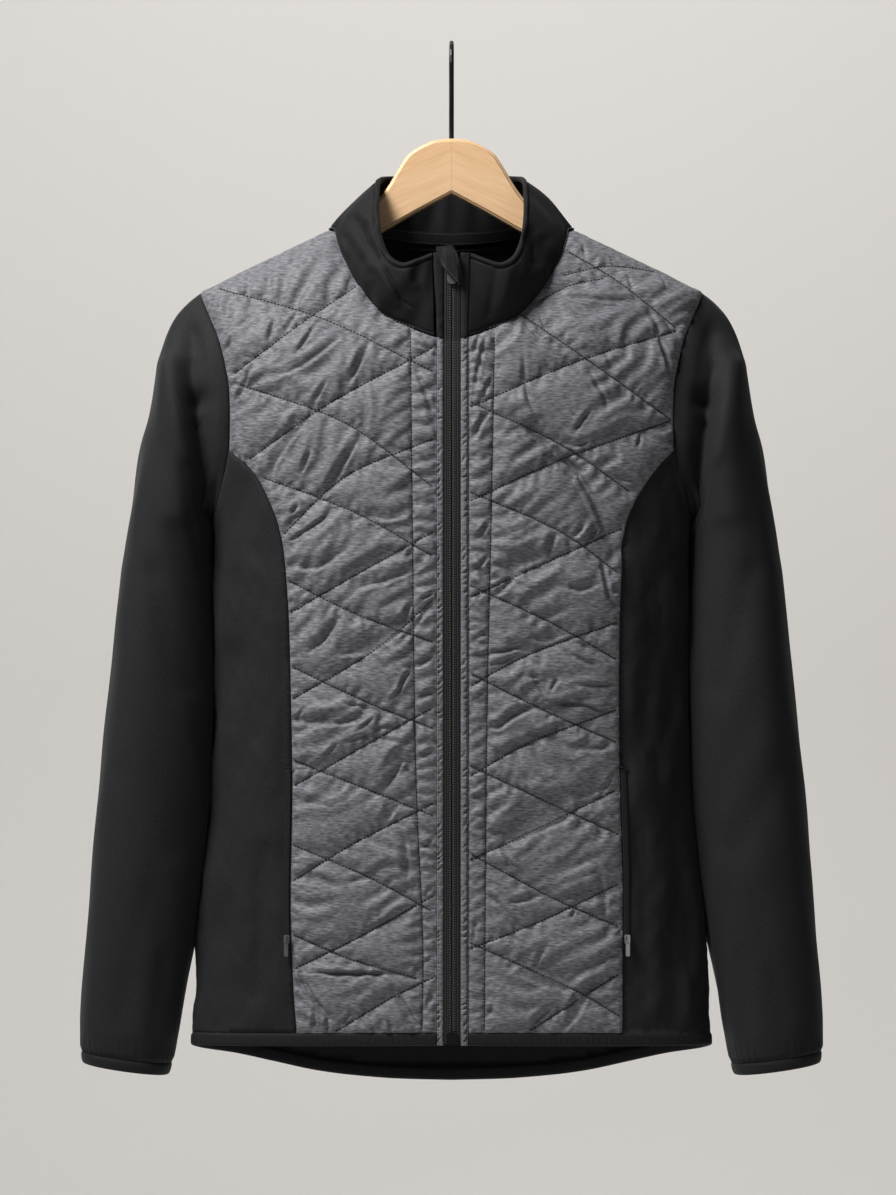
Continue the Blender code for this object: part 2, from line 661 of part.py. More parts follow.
def front_outline(side):
    """The quilted front's outline on the wearer's left: up the centre, neck, shoulder, armhole, side, hem."""
    edge = abs(STRIP_OUTER_RIGHT if side < 0 else STRIP_OUTER_LEFT)
    foot = hem_z(edge) + HEM_BINDING_HEIGHT
    neck = NECK[(NECK[:, 0] > edge + 0.1) & (NECK[:, 0] < NECK[SHOULDER_CORNER, 0] - 0.1)]
    top = np.array([[edge, neck_z(edge)]])
    princess = princess_line(side, -795)
    end = princess[-1:]
    s = np.linspace(end[0, 0], edge, 30)
    hem = np.stack([s, hem_z(s) + HEM_BINDING_HEIGHT], axis=1)
    princess = princess[princess[:, 1] > hem[0, 1] + 0.5]
    princess = np.concatenate([princess, hem[:1]])
    return join_lines(
        spaced([[edge, foot], *top], FINE_PITCH),
        spaced(np.concatenate([top, neck, NECK[SHOULDER_CORNER : SHOULDER_CORNER + 1]]), FINE_PITCH),
        spaced(shoulder_line(), FINE_PITCH),
        ARMHOLE_FRONT[: PRINCESS_AT + 1],
        spaced(princess, FINE_PITCH),
        spaced(hem, FINE_PITCH),
    )


def side_outline(side):
    """The side panel's outline on the wearer's left."""
    princess, back = princess_line(side, -795), side_back_line(-825)
    s = np.linspace(princess[-1, 0], back[-1, 0], 60)
    hem = np.stack([s, hem_z(s) + HEM_BINDING_HEIGHT], axis=1)
    princess = princess[princess[:, 1] > hem[0, 1] + 0.5]
    back = back[back[:, 1] > hem[-1, 1] + 0.5]
    pitch = FINE_PITCH * 1.5
    return join_lines(
        spaced(np.concatenate([princess, hem[:1]])[::-1], FINE_PITCH),
        ARMHOLE_FRONT[PRINCESS_AT:],
        ARMHOLE_BACK[SIDE_BACK_AT:][::-1],
        spaced(np.concatenate([back, hem[-1:]]), pitch),
        spaced(hem[::-1], pitch),
    )


def from_centre_back(line):
    return np.stack([half_round(line[:, 1]) - line[:, 0], line[:, 1]], axis=1)


def back_outline():
    """The back's outline round both halves, by distance from the centre back."""
    corner = NECK[SHOULDER_CORNER:]
    pitch = FINE_PITCH * 1.5
    side = side_back_line(-825)
    s = np.linspace(side[-1, 0], half_round(np.array([-846.0]))[0], 40)
    hem = from_centre_back(np.stack([s, hem_z(s) + HEM_BINDING_HEIGHT], axis=1))
    hem[-1, 0] = 0
    side = from_centre_back(side)
    side = np.concatenate([side[side[:, 1] > hem[0, 1] + 0.5], hem[:1]])
    neck = from_centre_back(corner)
    neck[-1, 0] = 0
    half = [
        spaced(neck[::-1], pitch),
        spaced(from_centre_back(shoulder_line()), pitch),
        from_centre_back(ARMHOLE_BACK[: SIDE_BACK_AT + 1]),
        spaced(side, pitch),
        spaced(hem, pitch),
    ]
    half = join_lines(*half)
    mirrored = half[1:-1][::-1] * (-1, 1)
    return np.concatenate([half, mirrored])


def mirrored(outline, side):
    return outline * (side, 1)


def make_body(finishes):
    for side, name in ((-1, "right"), (1, "left")):
        lines = [mirrored(line, side) for line in quilt_lines(side)]
        panel(f"front_quilted_{name}", mirrored(front_outline(side), side), surface, SHELL_WALL,
              finishes["quilted_shell"], FINE_PITCH, PLAIN_PITCH, lines,
              [mirrored(line, side) for line in bend_guides(FRONT_SHOULDER_BEND)])
        panel(f"side_panel_{name}", mirrored(side_outline(side), side), surface, JERSEY_WALL,
              finishes["jersey"], PLAIN_PITCH, PLAIN_PITCH * 1.3,
              guides=[mirrored(line, side) for line in bend_guides(SIDE_BEND)], guide_pitch=PLAIN_PITCH)
    bends = [mirrored(from_centre_back(line), side) for line in bend_guides(BACK_SHOULDER_BEND)
             for side in (-1, 1)]
    panel("back_panel", back_outline(), on_back, JERSEY_WALL, finishes["jersey"], PLAIN_PITCH,
          PLAIN_PITCH * 1.3, guides=bends)


def make_hem_binding(finishes):
    """The bound edge, from one front strip round the back to the other."""
    columns = 56
    start, end = abs(STRIP_OUTER_RIGHT), abs(STRIP_OUTER_LEFT)
    whole = 2 * HEM_HALF_ROUND
    along = np.linspace(start + SEAM_GAP, whole - end - SEAM_GAP, columns)
    s = np.where(along < whole / 2, -along, whole - along)
    rows = []
    for drop, wall in ((SEAM_GAP / 2, SHELL_WALL), (1.2, BINDING_WALL), (HEM_BINDING_HEIGHT, BINDING_WALL)):
        z = hem_z(s) + HEM_BINDING_HEIGHT - drop
        share = half_round(z) / HEM_HALF_ROUND
        rows.append([surface(s * share, z, side * wall / 2) for side in (1, -1)])
    grid = np.array(rows)
    walled("hem_binding", grid[:, 0], grid[:, 1], finishes["binding"])


# ---------------------------------------------------------------- sleeves

SLEEVE_OUTER_ROWS = (0, 12, 24, 40, 60, 84, 112, 142, 174, 208, 246, 288, 332, 380, 430, 480, 530, 570, 600,
                     CUFF_GATHER_DOWN, CUFF_SEAM_DOWN)
SLEEVE_INNER_ROWS = (0, 12, 24, 40, 72, 110, 168, 248, 348, 448, 548, CUFF_SEAM_DOWN)
SLEEVE_BLEND = 75.0
SLEEVE_GAP = 0.3


def line_by_length(table):
    """A function from the distance along the table's line to its point in the XZ plane."""
    x, z = np.array(table["x"], float), np.array(table["z"], float)
    if z[0] < z[-1]:
        x, z = x[::-1], z[::-1]
    along = np.concatenate([[0], np.cumsum(np.hypot(np.diff(x), np.diff(z)))])
    return lambda d: np.stack([curve_through(along, x, d), curve_through(along, z, d)], axis=-1)


def armhole_ring(wall):
    """The sleeve's first ring: the armhole seam, from its tip down the front and up the back."""
    ring = inset(np.concatenate([ARMHOLE_FRONT[:-1], ARMHOLE_BACK[:0:-1]]), SLEEVE_GAP)
    return [surface(ring[:, 0], ring[:, 1], np.full(len(ring), side * wall / 2)) for side in (1, 0, -1)]


def sleeve_shape(down):
    """Ring points of the sleeve's middle layer at distances down the crown, before the armhole is fitted."""
    turn = np.arange(SLEEVE_COLUMNS) * 2 * math.pi / SLEEVE_COLUMNS
    power = 2 / SLEEVE_SQUARENESS
    across = np.sign(np.cos(turn)) * np.abs(np.cos(turn)) ** power
    deep = np.abs(np.sin(turn)) ** power
    crown = line_by_length(CROWN)(down)
    step = column(SLEEVE_RINGS, "under", "down", down)
    under = np.stack([column(UNDER, key, "step", step) for key in ("x", "z")], axis=1)
    front, back, set_back = (column(SLEEVE_RINGS, key, "down", down) for key in ("front", "back", "set_back"))
    middle, half = (crown + under) / 2, (crown - under) / 2
    grid = np.zeros((len(down), SLEEVE_COLUMNS, 3))
    grid[:, :, 0] = middle[:, :1] + half[:, :1] * across
    grid[:, :, 2] = middle[:, 1:] + half[:, 1:] * across
    grid[:, :, 1] = np.where(np.sin(turn) > 0, -front[:, None] * deep, back[:, None] * deep)
    grid[:, :, 1] += set_back[:, None] * (1 - across) / 2
    return grid


def clear_of_body(grid, clearance):
    """The sleeve's points moved outwards where they would come nearer than that to the body's side."""
    flat = grid.reshape(-1, 3)
    depth = np.where(flat[:, 1] < 0, column(BODY_SECTIONS, "front", "z", flat[:, 2]),
                     column(BODY_SECTIONS, "back", "z", flat[:, 2]))
    share = np.clip(np.abs(flat[:, 1]) / depth, 0, 1) ** SECTION_SQUARENESS
    half = column(BODY_SECTIONS, "half_width", "z", flat[:, 2]) * (1 - share) ** (1 / SECTION_SQUARENESS)
    beside = np.clip((UNDERARM_Z - flat[:, 2]) / clearance, 0, 1)
    flat[:, 0] = np.maximum(flat[:, 0], (half + clearance) * beside)
    return flat.reshape(grid.shape)


def sleeve_layers(rows, wall):
    """The sleeve's outer, middle and inner layers at the given distances down the crown."""
    down = np.array(rows, float)
    grid = sleeve_shape(down)
    outer, seam, inner = armhole_ring(wall)
    near = np.clip(1 - down / SLEEVE_BLEND, 0, 1)
    near = near * near * (3 - 2 * near)
    grid = grid + (seam - grid[0])[None] * near[:, None, None]
    normals = grid_normals(grid, True)
    free = (1 - np.exp(-down / 18))[:, None] * np.clip((CUFF_SEAM_DOWN - down) / 30, 0, 1)[:, None]
    flat = grid.reshape(-1, 3)
    height = fold_height(flat, SLEEVE_FOLDS).reshape(grid.shape[:2]) * free
    grid = grid + normals * height[:, :, None]
    gather = np.where(np.arange(SLEEVE_COLUMNS) % 2 == 0, 1, -1) * CUFF_GATHER_DEPTH
    close = np.exp(-(((down - CUFF_GATHER_DOWN) / CUFF_GATHER_REACH) ** 2))
    grid = grid + normals * (gather[None] * close[:, None])[:, :, None]
    grid = clear_of_body(grid, SLEEVE_CLEARANCE)
    normals = grid_normals(grid, True)
    layers = [grid + normals * side * wall / 2 for side in (1, -1)]
    layers[0][0], layers[1][0] = outer, inner
    return layers


def make_sleeves(finishes):
    top = CUFF_SEAM_DOWN + 2 * SEAM_GAP
    cuff_rows = (top, top + 1.5, top + CUFF_BINDING_HEIGHT)
    for side, name in ((-1, "right"), (1, "left")):
        flip = np.array((side, 1, 1))
        outer = sleeve_layers(SLEEVE_OUTER_ROWS, JERSEY_WALL)[0]
        inner = sleeve_layers(SLEEVE_INNER_ROWS, JERSEY_WALL)[1]
        walled(f"sleeve_{name}", outer * flip, inner * flip, finishes["jersey"], closed=True)
        middle = sleeve_shape(np.array(cuff_rows))
        normals = grid_normals(middle, True)
        walls = np.array([JERSEY_WALL, BINDING_WALL, BINDING_WALL])[:, None, None] / 2
        walled(f"cuff_binding_{name}", (middle + normals * walls) * flip, (middle - normals * walls) * flip,
               finishes["binding"], closed=True)


# ---------------------------------------------------------------- collar and neck

COLLAR_COLUMNS = 38
COLLAR_ROWS = 7


def collar_half(columns, start):
    """Neck seam points with their normals, top points and bulges, from the front edge to the centre back."""
    index = np.linspace(start, 12, columns)
    place = np.stack([np.interp(index * 20, np.arange(len(NECK)), NECK[:, k]) for k in (0, 1)], axis=1)
    below = surface(place[:, 0], place[:, 1])
    up = place + (0, SEAM_GAP)
    seam = surface(up[:, 0], up[:, 1])
    seam = below + unit(seam - below) * SEAM_GAP
    top = np.stack([column(COLLAR_TOP, key, "neck_index", index) for key in ("x", "y", "z")], axis=1)
    return seam, surface_normal(place[:, 0], place[:, 1]), top, column(COLLAR_TOP, "bulge", "neck_index", index)


def both_sides(half, flip):
    """A half's rows from the wearer's right edge round to the wearer's left edge."""
    return np.concatenate([half * flip, half[-2::-1]])


def collar_layers(rows, columns, wall):
    seam, normal, top, bulge = collar_half(columns // 2 + 1, COLLAR_TOP["neck_index"][0])
    flip = np.array((-1, 1, 1))
    seam, normal, top = (both_sides(part, flip) for part in (seam, normal, top))
    bulge = both_sides(bulge, 1)
    t = np.linspace(0, 1, rows)[:, None, None]
    grid = top[None] * (1 - t) + seam[None] * t
    normals = grid_normals(grid, False)
    grid = grid + normals * (bulge[None] * 4 * t[:, :, 0] * (1 - t[:, :, 0]))[:, :, None]
    normals = grid_normals(grid, False)
    normals[-1] = normal
    return grid + normals * wall / 2, grid - normals * wall / 2


def make_collar(finishes):
    outer, inner = collar_layers(COLLAR_ROWS, COLLAR_COLUMNS, COLLAR_WALL)
    walled("collar", outer, inner, finishes["jersey"])


def centre_depth(z):
    """How far in front of the hanger the centre front lies, body and collar."""
    lower = column(BODY_SECTIONS, "front", "z", np.minimum(z, NECK_FRONT_Z))
    rise = np.clip((z - NECK_FRONT_Z) / (COLLAR_TOP_FRONT_Z - NECK_FRONT_Z), 0, 1)
    return lower + 3.0 * rise


def strip(name, x_edges, z_top, z_bottom, wall, finish, pitch, ridge=0.0):
    """An upright strip beside the centre front, puckered across by ridge on its front and plain behind.
    x_edges are its two sides, each as x by height."""
    layers = []
    for layer_pitch, side in ((pitch, -1), (STRIP_BACK_PITCH, 1)):
        rows = round((z_top - z_bottom) / layer_pitch) + 1
        z = np.linspace(z_top, z_bottom, rows)
        wave = np.where((np.arange(rows) % 2 == 0) & (side < 0), ridge, 0.0)
        y = side * wall / 2 - wave - centre_depth(z)
        ends = [np.interp(z, sorted(edge), [edge[k] for k in sorted(edge)]) for edge in x_edges]
        layers.append(np.stack([np.stack([x, y, z], axis=1) for x in ends], axis=1))
    front, back = layers
    count, back_count = len(front), len(back)
    over = np.arange(2 * count).reshape(count, 2)
    under = np.arange(2 * back_count).reshape(back_count, 2) + 2 * count
    faces = [(*over[0], *under[0, ::-1]), (*over[-1], *under[-1, ::-1])]
    for grid in (over, under):
        for first, second in zip(grid[:-1], grid[1:]):
            faces += ring_faces(first, second, False)
    for side in (0, 1):
        faces.append((*over[:, side], *under[::-1, side]))
    solid(name, np.concatenate([front.reshape(-1, 3), back.reshape(-1, 3)]), faces, finish)


STRIP_BACK_PITCH = 17.0
FRONT_STRIP_WALL = 2.4
TAPE_WALL = 1.6
GATHER_PITCH = 5.6
GATHER_HEIGHT = 0.8


def make_centre_front(finishes):
    gap = SEAM_GAP / 2
    neck, top, hem = NECK_FRONT_Z, COLLAR_TOP_FRONT_Z, FRONT_HEM_Z
    tape_top = top - 4
    sides = (
        ("right", -1, TAPE_OUTER_RIGHT, STRIP_OUTER_RIGHT, COLLAR_TOP["x"][0]),
        ("left", 1, TAPE_OUTER_LEFT, STRIP_OUTER_LEFT, COLLAR_TOP["x"][0]),
    )
    for name, side, tape, edge, collar_edge in sides:
        inner = {hem: tape + side * gap, top: tape + side * gap}
        outer = {hem: edge - side * gap, neck: edge - side * gap}
        strip(f"front_strip_{name}", (inner, outer), neck - gap, hem, FRONT_STRIP_WALL,
              finishes["quilted_shell"], GATHER_PITCH / 2, ridge=GATHER_HEIGHT)
        collar_outer = {neck: edge - side * 1.2, top: side * (collar_edge - 2.2)}
        strip(f"collar_facing_{name}", (inner, collar_outer), top, neck + gap, FRONT_STRIP_WALL,
              finishes["jersey"], 9)
        tape_outer = {hem: tape - side * gap, top: tape - side * gap}
        middle = {hem: ZIP_MIDDLE + side * gap, top: ZIP_MIDDLE + side * gap}
        strip(f"zip_tape_{name}", (middle, tape_outer), tape_top, hem + 1, TAPE_WALL, finishes["zip_tape"], 22)


NECK_TAPE_WALL = 1.2
NECK_TAPE_COLUMNS = 16
SLIDER = {"width": 8.0, "height": 14.0, "thick": 3.2, "foot_z": -199.0}
BOTTOM_BOX = {"width": 8.0, "height": 9.5, "thick": 2.6, "foot_z": -807.0}
GARAGE = {
    "down": (0, 0.35, 0.7, 1),
    "right_x": (-11.4, -10.2, -7.4, -3.4),
    "left_x": (2.6, 5.6, 8.0, 8.6),
    "top_z": (-170.5, -177, -186.5, -193),
    "left_z": (-170.5, -180, -189.5, -197.2),
}
GARAGE_WALL = 1.5
GARAGE_EDGE_OUT, GARAGE_MIDDLE_OUT = 2.4, 5.9


def make_neck_tape(finishes):
    """The tape over the seam inside the back of the neck."""
    inner = collar_layers(13, COLLAR_COLUMNS, COLLAR_WALL)[1]
    first = (COLLAR_COLUMNS - NECK_TAPE_COLUMNS) // 2
    rows = inner[-4:-1, first : first + NECK_TAPE_COLUMNS + 1]
    normals = grid_normals(rows, False)
    near, far = rows - normals * 2 * SEAM_GAP, rows - normals * (2 * SEAM_GAP + NECK_TAPE_WALL)
    walled("neck_tape", near, far, finishes["jersey"])


def plate(name, outline, low, high, place, finish):
    """An outline of (u, w) points made solid between two distances out, each placed by place(u, w, out)."""
    count = len(outline)
    points = [place(u, w, out) for out in (low, high) for u, w in outline]
    faces = [tuple(range(count)), tuple(range(2 * count - 1, count - 1, -1))]
    faces += [(i, (i + 1) % count, (i + 1) % count + count, i + count) for i in range(count)]
    return solid(name, points, faces, finish, 35)


def rounded(width, height, radius, foot_radius):
    """An upright rounded outline about (0, 0), counted from its foot."""
    corners = (
        (width / 2 - foot_radius, foot_radius, foot_radius, -90),
        (width / 2 - radius, height - radius, radius, 0),
        (-width / 2 + radius, height - radius, radius, 90),
        (-width / 2 + foot_radius, foot_radius, foot_radius, 180),
    )
    outline = []
    for u, w, r, start in corners:
        for step in range(4):
            angle = math.radians(start + 30 * step)
            outline.append((u + r * math.cos(angle), w + r * math.sin(angle)))
    return outline


def make_zip_hardware(finishes):
    for name, size, foot_radius in (("zip_slider", SLIDER, 3.6), ("zip_bottom_box", BOTTOM_BOX, 1.0)):
        middle_z = size["foot_z"] + size["height"] / 2
        tape_front = float(centre_depth(np.array([middle_z]))[0]) + TAPE_WALL / 2 + SEAM_GAP

        def place(u, w, out, size=size, tape_front=tape_front):
            return (ZIP_MIDDLE + u, -tape_front - out, size["foot_z"] + w)

        outline = rounded(size["width"], size["height"], 1.0, foot_radius)
        plate(name, outline, 0, size["thick"], place, finishes["black_metal"])


def make_garage(finishes):
    """The cloth flap over the slider: its edges lie on the facings, and its middle clears the slider."""
    rows, across = 8, 9
    down = np.linspace(0, 1, rows)
    u = np.linspace(-1, 1, across)
    right_x, left_x, top_z, left_z = (
        column(GARAGE, key, "down", down)[:, None] for key in ("right_x", "left_x", "top_z", "left_z")
    )
    mix = (u + 1)[None] / 2
    x = right_x * (1 - mix) + left_x * mix
    z = top_z * (1 - mix) + left_z * mix
    beside = np.clip((np.abs(x - ZIP_MIDDLE) - SLIDER["width"] / 2 - 0.6) / 3, 0, 1)
    out = GARAGE_MIDDLE_OUT + (GARAGE_EDGE_OUT - GARAGE_MIDDLE_OUT) * beside * beside * (3 - 2 * beside)
    depth = centre_depth(z)
    layers = [np.stack([x, -depth - out - half * GARAGE_WALL / 2, z], axis=2) for half in (1, -1)]
    walled("zip_garage", layers[0], layers[1], finishes["jersey"])


# ---------------------------------------------------------------- pockets

POCKET_TOP_Z, POCKET_FOOT_Z = -587.0, -728.0
POCKET_TAPE_CLEAR, POCKET_TAPE_WIDTH, POCKET_TAPE_WALL = 0.6, 4.6, 1.2
POCKET_SLIDER_Z = -723.0
POCKET_SLIDER = {"width": 4.6, "height": 7.0, "thick": 1.8, "corner": 0.8}
# The bridge that the pull hangs from, seen from the side: out, and up from the slider's middle.
BRIDGE = ((1.3, -2.4), (4.4, -2.4), (4.4, 2.6), (1.3, 2.6), (1.3, 1.8), (3.6, 1.8), (3.6, -1.6), (1.3, -1.6))
BRIDGE_HALF_WIDTH = 0.7
PULL_PIVOT = (2.7, -0.7)  # out from the tape, and up from the slider's middle
PULL = {"length": 13.0, "half_width": 1.7, "half_thick": 0.45, "corner": 0.8, "eye_half_width": 1.0,
        "eye_height": 2.9}


def pocket_frame(side, seam_clear):
    """The pocket slider's own axes: (u across, w up, out) become a point of the jacket."""
    z = np.array([POCKET_SLIDER_Z])
    key = "right" if side < 0 else "left"
    seam = s_of_x(column(PRINCESS_SEAM, key, "z", z), z)
    s = (seam + seam_clear) * side
    base = surface(s, z, JERSEY_WALL / 2 + POCKET_TAPE_WALL + 3 * SEAM_GAP)[0]
    out = surface_normal(s, z)[0] * (1, 1, 0)
    out = out / np.linalg.norm(out)
    across = np.array((-out[1], out[0], 0))
    return lambda u, w, d: tuple(base + across * u + np.array((0, 0, w)) + out * d)


def combine(target, helper, operation):
    """Joins a helper's solid to the target's or cuts it out, and keeps the helper out of the model."""
    helper.hide_render = True
    helper.display_type = "WIRE"
    boolean = target.modifiers.new(operation.lower(), "BOOLEAN")
    boolean.operation = operation
    boolean.object = helper


def make_pockets(finishes):
    for side, name in ((-1, "right"), (1, "left")):
        z = np.linspace(POCKET_TOP_Z, POCKET_FOOT_Z, 10)
        seam = s_of_x(column(PRINCESS_SEAM, name, "z", z), z)
        edges = [(seam + POCKET_TAPE_CLEAR + share * POCKET_TAPE_WIDTH) * side for share in (0, 1)]
        low, high = (JERSEY_WALL / 2 + 2 * SEAM_GAP + part for part in (0, POCKET_TAPE_WALL))
        layers = [np.stack([surface(s, z, out) for s in edges], axis=1) for out in (high, low)]
        walled(f"pocket_zip_{name}", layers[0], layers[1], finishes["zip_tape"])

        place = pocket_frame(side, POCKET_TAPE_CLEAR + POCKET_TAPE_WIDTH / 2)
        size = POCKET_SLIDER
        base = plate(f"pocket_slider_{name}",
                     rounded(size["width"], size["height"], size["corner"], size["corner"]), 0, size["thick"],
                     lambda u, w, d: place(u, w - size["height"] / 2, d), finishes["steel"])
        bridge = plate(f"bridge_{name}", BRIDGE, -BRIDGE_HALF_WIDTH, BRIDGE_HALF_WIDTH,
                       lambda d, w, u: place(u, w, d), finishes["steel"])
        combine(base, bridge, "UNION")

        out, pivot_z = PULL_PIVOT
        half, bar, corner, eye = (PULL[key] for key in ("half_width", "half_thick", "corner", "eye_half_width"))
        foot = pivot_z - PULL["length"]
        tab = plate(f"pocket_pull_{name}",
                    ((half, pivot_z + bar), (-half, pivot_z + bar), (-half, foot + corner),
                     (-half + corner, foot), (half - corner, foot), (half, foot + corner)),
                    out - bar, out + bar, place, finishes["steel"])
        hole = plate(f"eye_{name}",
                     ((eye, pivot_z - bar), (-eye, pivot_z - bar), (-eye, pivot_z - PULL["eye_height"]),
                      (eye, pivot_z - PULL["eye_height"])),
                     out - 2 * bar, out + 2 * bar, place, finishes["steel"])
        combine(tab, hole, "DIFFERENCE")


# ---------------------------------------------------------------- hanger

def ridge_z(x):
    """The height of the shoulder's ridge at a distance from the middle."""
    z = np.linspace(ARMHOLE_TIP_Z, LEVELS[-1], 80)
    half = column(BODY_SECTIONS, "half_width", "z", z)
    return np.interp(x, half[::-1], z[::-1])


def make_hanger(finishes):
    follow = np.linspace(106, HANGER_TIP_X - 5, 8)
    top = list(zip(HANGER_TOP["x"], HANGER_TOP["z"]))
    top += list(zip(follow, ridge_z(follow) - HANGER_UNDER_CLOTH))
    end_top, foot = top[-1], list(zip(HANGER_FOOT["x"], HANGER_FOOT["z"]))[::-1]
    tip_z = (end_top[1] + foot[0][1]) / 2
    half = top + [(HANGER_TIP_X, tip_z + 3), (HANGER_TIP_X, tip_z - 3)] + foot
    outline = half + [(-x, z) for x, z in half[-2:0:-1]]
    body = plate("hanger", outline, -HANGER_THICKNESS / 2, HANGER_THICKNESS / 2,
                 lambda u, w, out: (u, out, w), finishes["wood"])
    bevel = body.modifiers.new("rounded edges", "BEVEL")
    bevel.width = 2.6 * MM
    bevel.segments = 2
    bevel.limit_method = "ANGLE"
    bevel.angle_limit = math.radians(60)


def make_hook(finishes):
    """The wire hook: up from the hanger, forward of the rod, over it and down behind."""
    radius = HOOK_INNER_RADIUS + HOOK_WIRE / 2
    foot = HANGER_TOP["z"][0] + SEAM_GAP
    points = [(0, foot), (0, foot + 8), (-0.6, -60), (-3, -51), (-7.5, -42.5), (-12.5, -34), (-16.4, -25.5)]
    for step in range(13):
        angle = math.radians(180 - 17 * step)
        points.append((radius * math.cos(angle), -HOOK_INNER_RADIUS + radius * math.sin(angle)))
    data = bpy.data.curves.new("hanger_hook", "CURVE")
    data.dimensions = "3D"
    data.bevel_depth = HOOK_WIRE / 2 * MM
    data.bevel_resolution = 2
    data.use_fill_caps = True
    spline = data.splines.new("POLY")
    spline.points.add(len(points) - 1)
    for point, (y, z) in zip(spline.points, points):
        point.co = (0, y * MM, z * MM, 1)
    spline.use_smooth = True
    data.materials.append(finishes["black_metal"])
    bpy.context.scene.collection.objects.link(bpy.data.objects.new("hanger_hook", data))


# ---------------------------------------------------------------- the whole

def main():
    for thing in list(bpy.data.objects):
        bpy.data.objects.remove(thing, do_unlink=True)
    finishes = {
        "quilted_shell": material("quilted_shell", (0.075, 0.077, 0.085), 0.5),
        "jersey": material("jersey", (0.016, 0.016, 0.018), 0.85),
        "binding": material("binding", (0.012, 0.012, 0.013), 0.7),
        "zip_tape": material("zip_tape", (0.02, 0.02, 0.022), 0.7),
        "black_metal": material("black_metal", (0.01, 0.01, 0.01), 0.35, 0.6),
        "steel": material("steel", (0.35, 0.35, 0.36), 0.3, 1.0),
        "wood": material("wood", (0.72, 0.52, 0.33), 0.5),
    }
    make_body(finishes)
    make_hem_binding(finishes)
    make_sleeves(finishes)
    make_collar(finishes)
    make_neck_tape(finishes)
    make_centre_front(finishes)
    make_zip_hardware(finishes)
    make_garage(finishes)
    make_pockets(finishes)
    make_hanger(finishes)
    make_hook(finishes)


main()
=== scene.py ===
"""The looks of the quilted jacket on its hanger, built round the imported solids.

Lengths are in millimetres in the solids' own frame, and MM turns them into metres. The first part repeats the
tables and the surface that the solids are cut from, so that the fine cloth lies on the same form. The second
part makes the cloth, stitches, trims, finishes, room, light and camera.
"""

import json
import math

import bpy
import numpy as np
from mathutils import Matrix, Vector
from mathutils.geometry import delaunay_2d_cdt

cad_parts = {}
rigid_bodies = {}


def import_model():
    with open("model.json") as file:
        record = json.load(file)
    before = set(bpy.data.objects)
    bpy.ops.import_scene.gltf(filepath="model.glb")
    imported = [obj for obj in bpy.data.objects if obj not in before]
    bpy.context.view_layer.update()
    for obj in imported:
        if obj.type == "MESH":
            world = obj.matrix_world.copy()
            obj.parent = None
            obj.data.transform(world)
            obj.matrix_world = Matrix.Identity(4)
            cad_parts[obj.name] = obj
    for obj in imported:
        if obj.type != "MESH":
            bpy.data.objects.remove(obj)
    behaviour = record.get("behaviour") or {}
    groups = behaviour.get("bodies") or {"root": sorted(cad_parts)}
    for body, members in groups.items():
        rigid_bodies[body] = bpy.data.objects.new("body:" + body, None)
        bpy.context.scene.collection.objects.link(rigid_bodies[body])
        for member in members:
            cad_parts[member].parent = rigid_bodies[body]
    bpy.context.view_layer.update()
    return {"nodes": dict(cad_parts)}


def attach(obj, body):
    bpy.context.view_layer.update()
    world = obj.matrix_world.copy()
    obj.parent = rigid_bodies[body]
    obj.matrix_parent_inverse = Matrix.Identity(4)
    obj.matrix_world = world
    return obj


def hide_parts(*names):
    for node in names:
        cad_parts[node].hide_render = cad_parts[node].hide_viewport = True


MM = 0.001
# -1 is the wearer's right, 1 the wearer's left.
SIDES = ((-1, "right"), (1, "left"))
# Cloth
SEAM_GAP = 0.3
SHELL_WALL = 2.6
JERSEY_WALL = 2.0
COLLAR_WALL = 3.4
BINDING_WALL = 3.6
PUFF_HEIGHT = 5.5
PUFF_REACH = 9.0
# Hem and openings
HEM_BINDING_HEIGHT = 10.0
CUFF_BINDING_HEIGHT = 9.5
NECK_FRONT_Z = -244.0
ARMHOLE_TIP_Z = -202.0
UNDERARM_Z = -392.0
# Centre front, from the middle outwards
ZIP_MIDDLE = 0.4
TAPE_OUTER_RIGHT, TAPE_OUTER_LEFT = -6.3, 7.2
STRIP_OUTER_RIGHT, STRIP_OUTER_LEFT = -12.0, 13.4
COLLAR_TOP_FRONT_Z = -174.0
FRONT_HEM_Z = -808.0
# The body's sections, top to bottom: half the width, and the depth in front of and behind the hanger.
BODY_SECTIONS = {
    "z": (-860, -811, -776, -711, -662, -597, -532, -451, -420, -392, -375, -340, -303, -264, -244, -232,
          -223, -212, -203, -197, -188, -180, -172, -164, -156, -150, -146),
    "half_width": (211.5, 210, 208.5, 205.5, 201.5, 195.5, 194, 193, 192.5, 193, 195.5, 200, 203, 205, 205.5,
                   205.5, 205.2, 204.8, 203.8, 192, 175, 158.5, 141.5, 125, 108, 97, 90),
    "front": (52, 54, 55, 57, 59, 63, 67, 71, 72, 72.5, 72.5, 72.5, 72, 69, 66, 60.5, 55.5, 49.5, 45, 42,
              37.5, 33.5, 29.5, 25.5, 19.5, 11.5, 6),
    "back": (50, 53, 55, 57, 58, 58, 57, 55, 54, 53.5, 53, 53, 53, 52, 51.5, 51, 51, 50.5, 50, 49.5, 49, 48,
             47, 44, 32, 13, 7),
}
SECTION_SQUARENESS = 2.4
FOLD_FADE = 14.0
HEM_CALM_Z, SHOULDER_CALM_Z = -800.0, -205.0
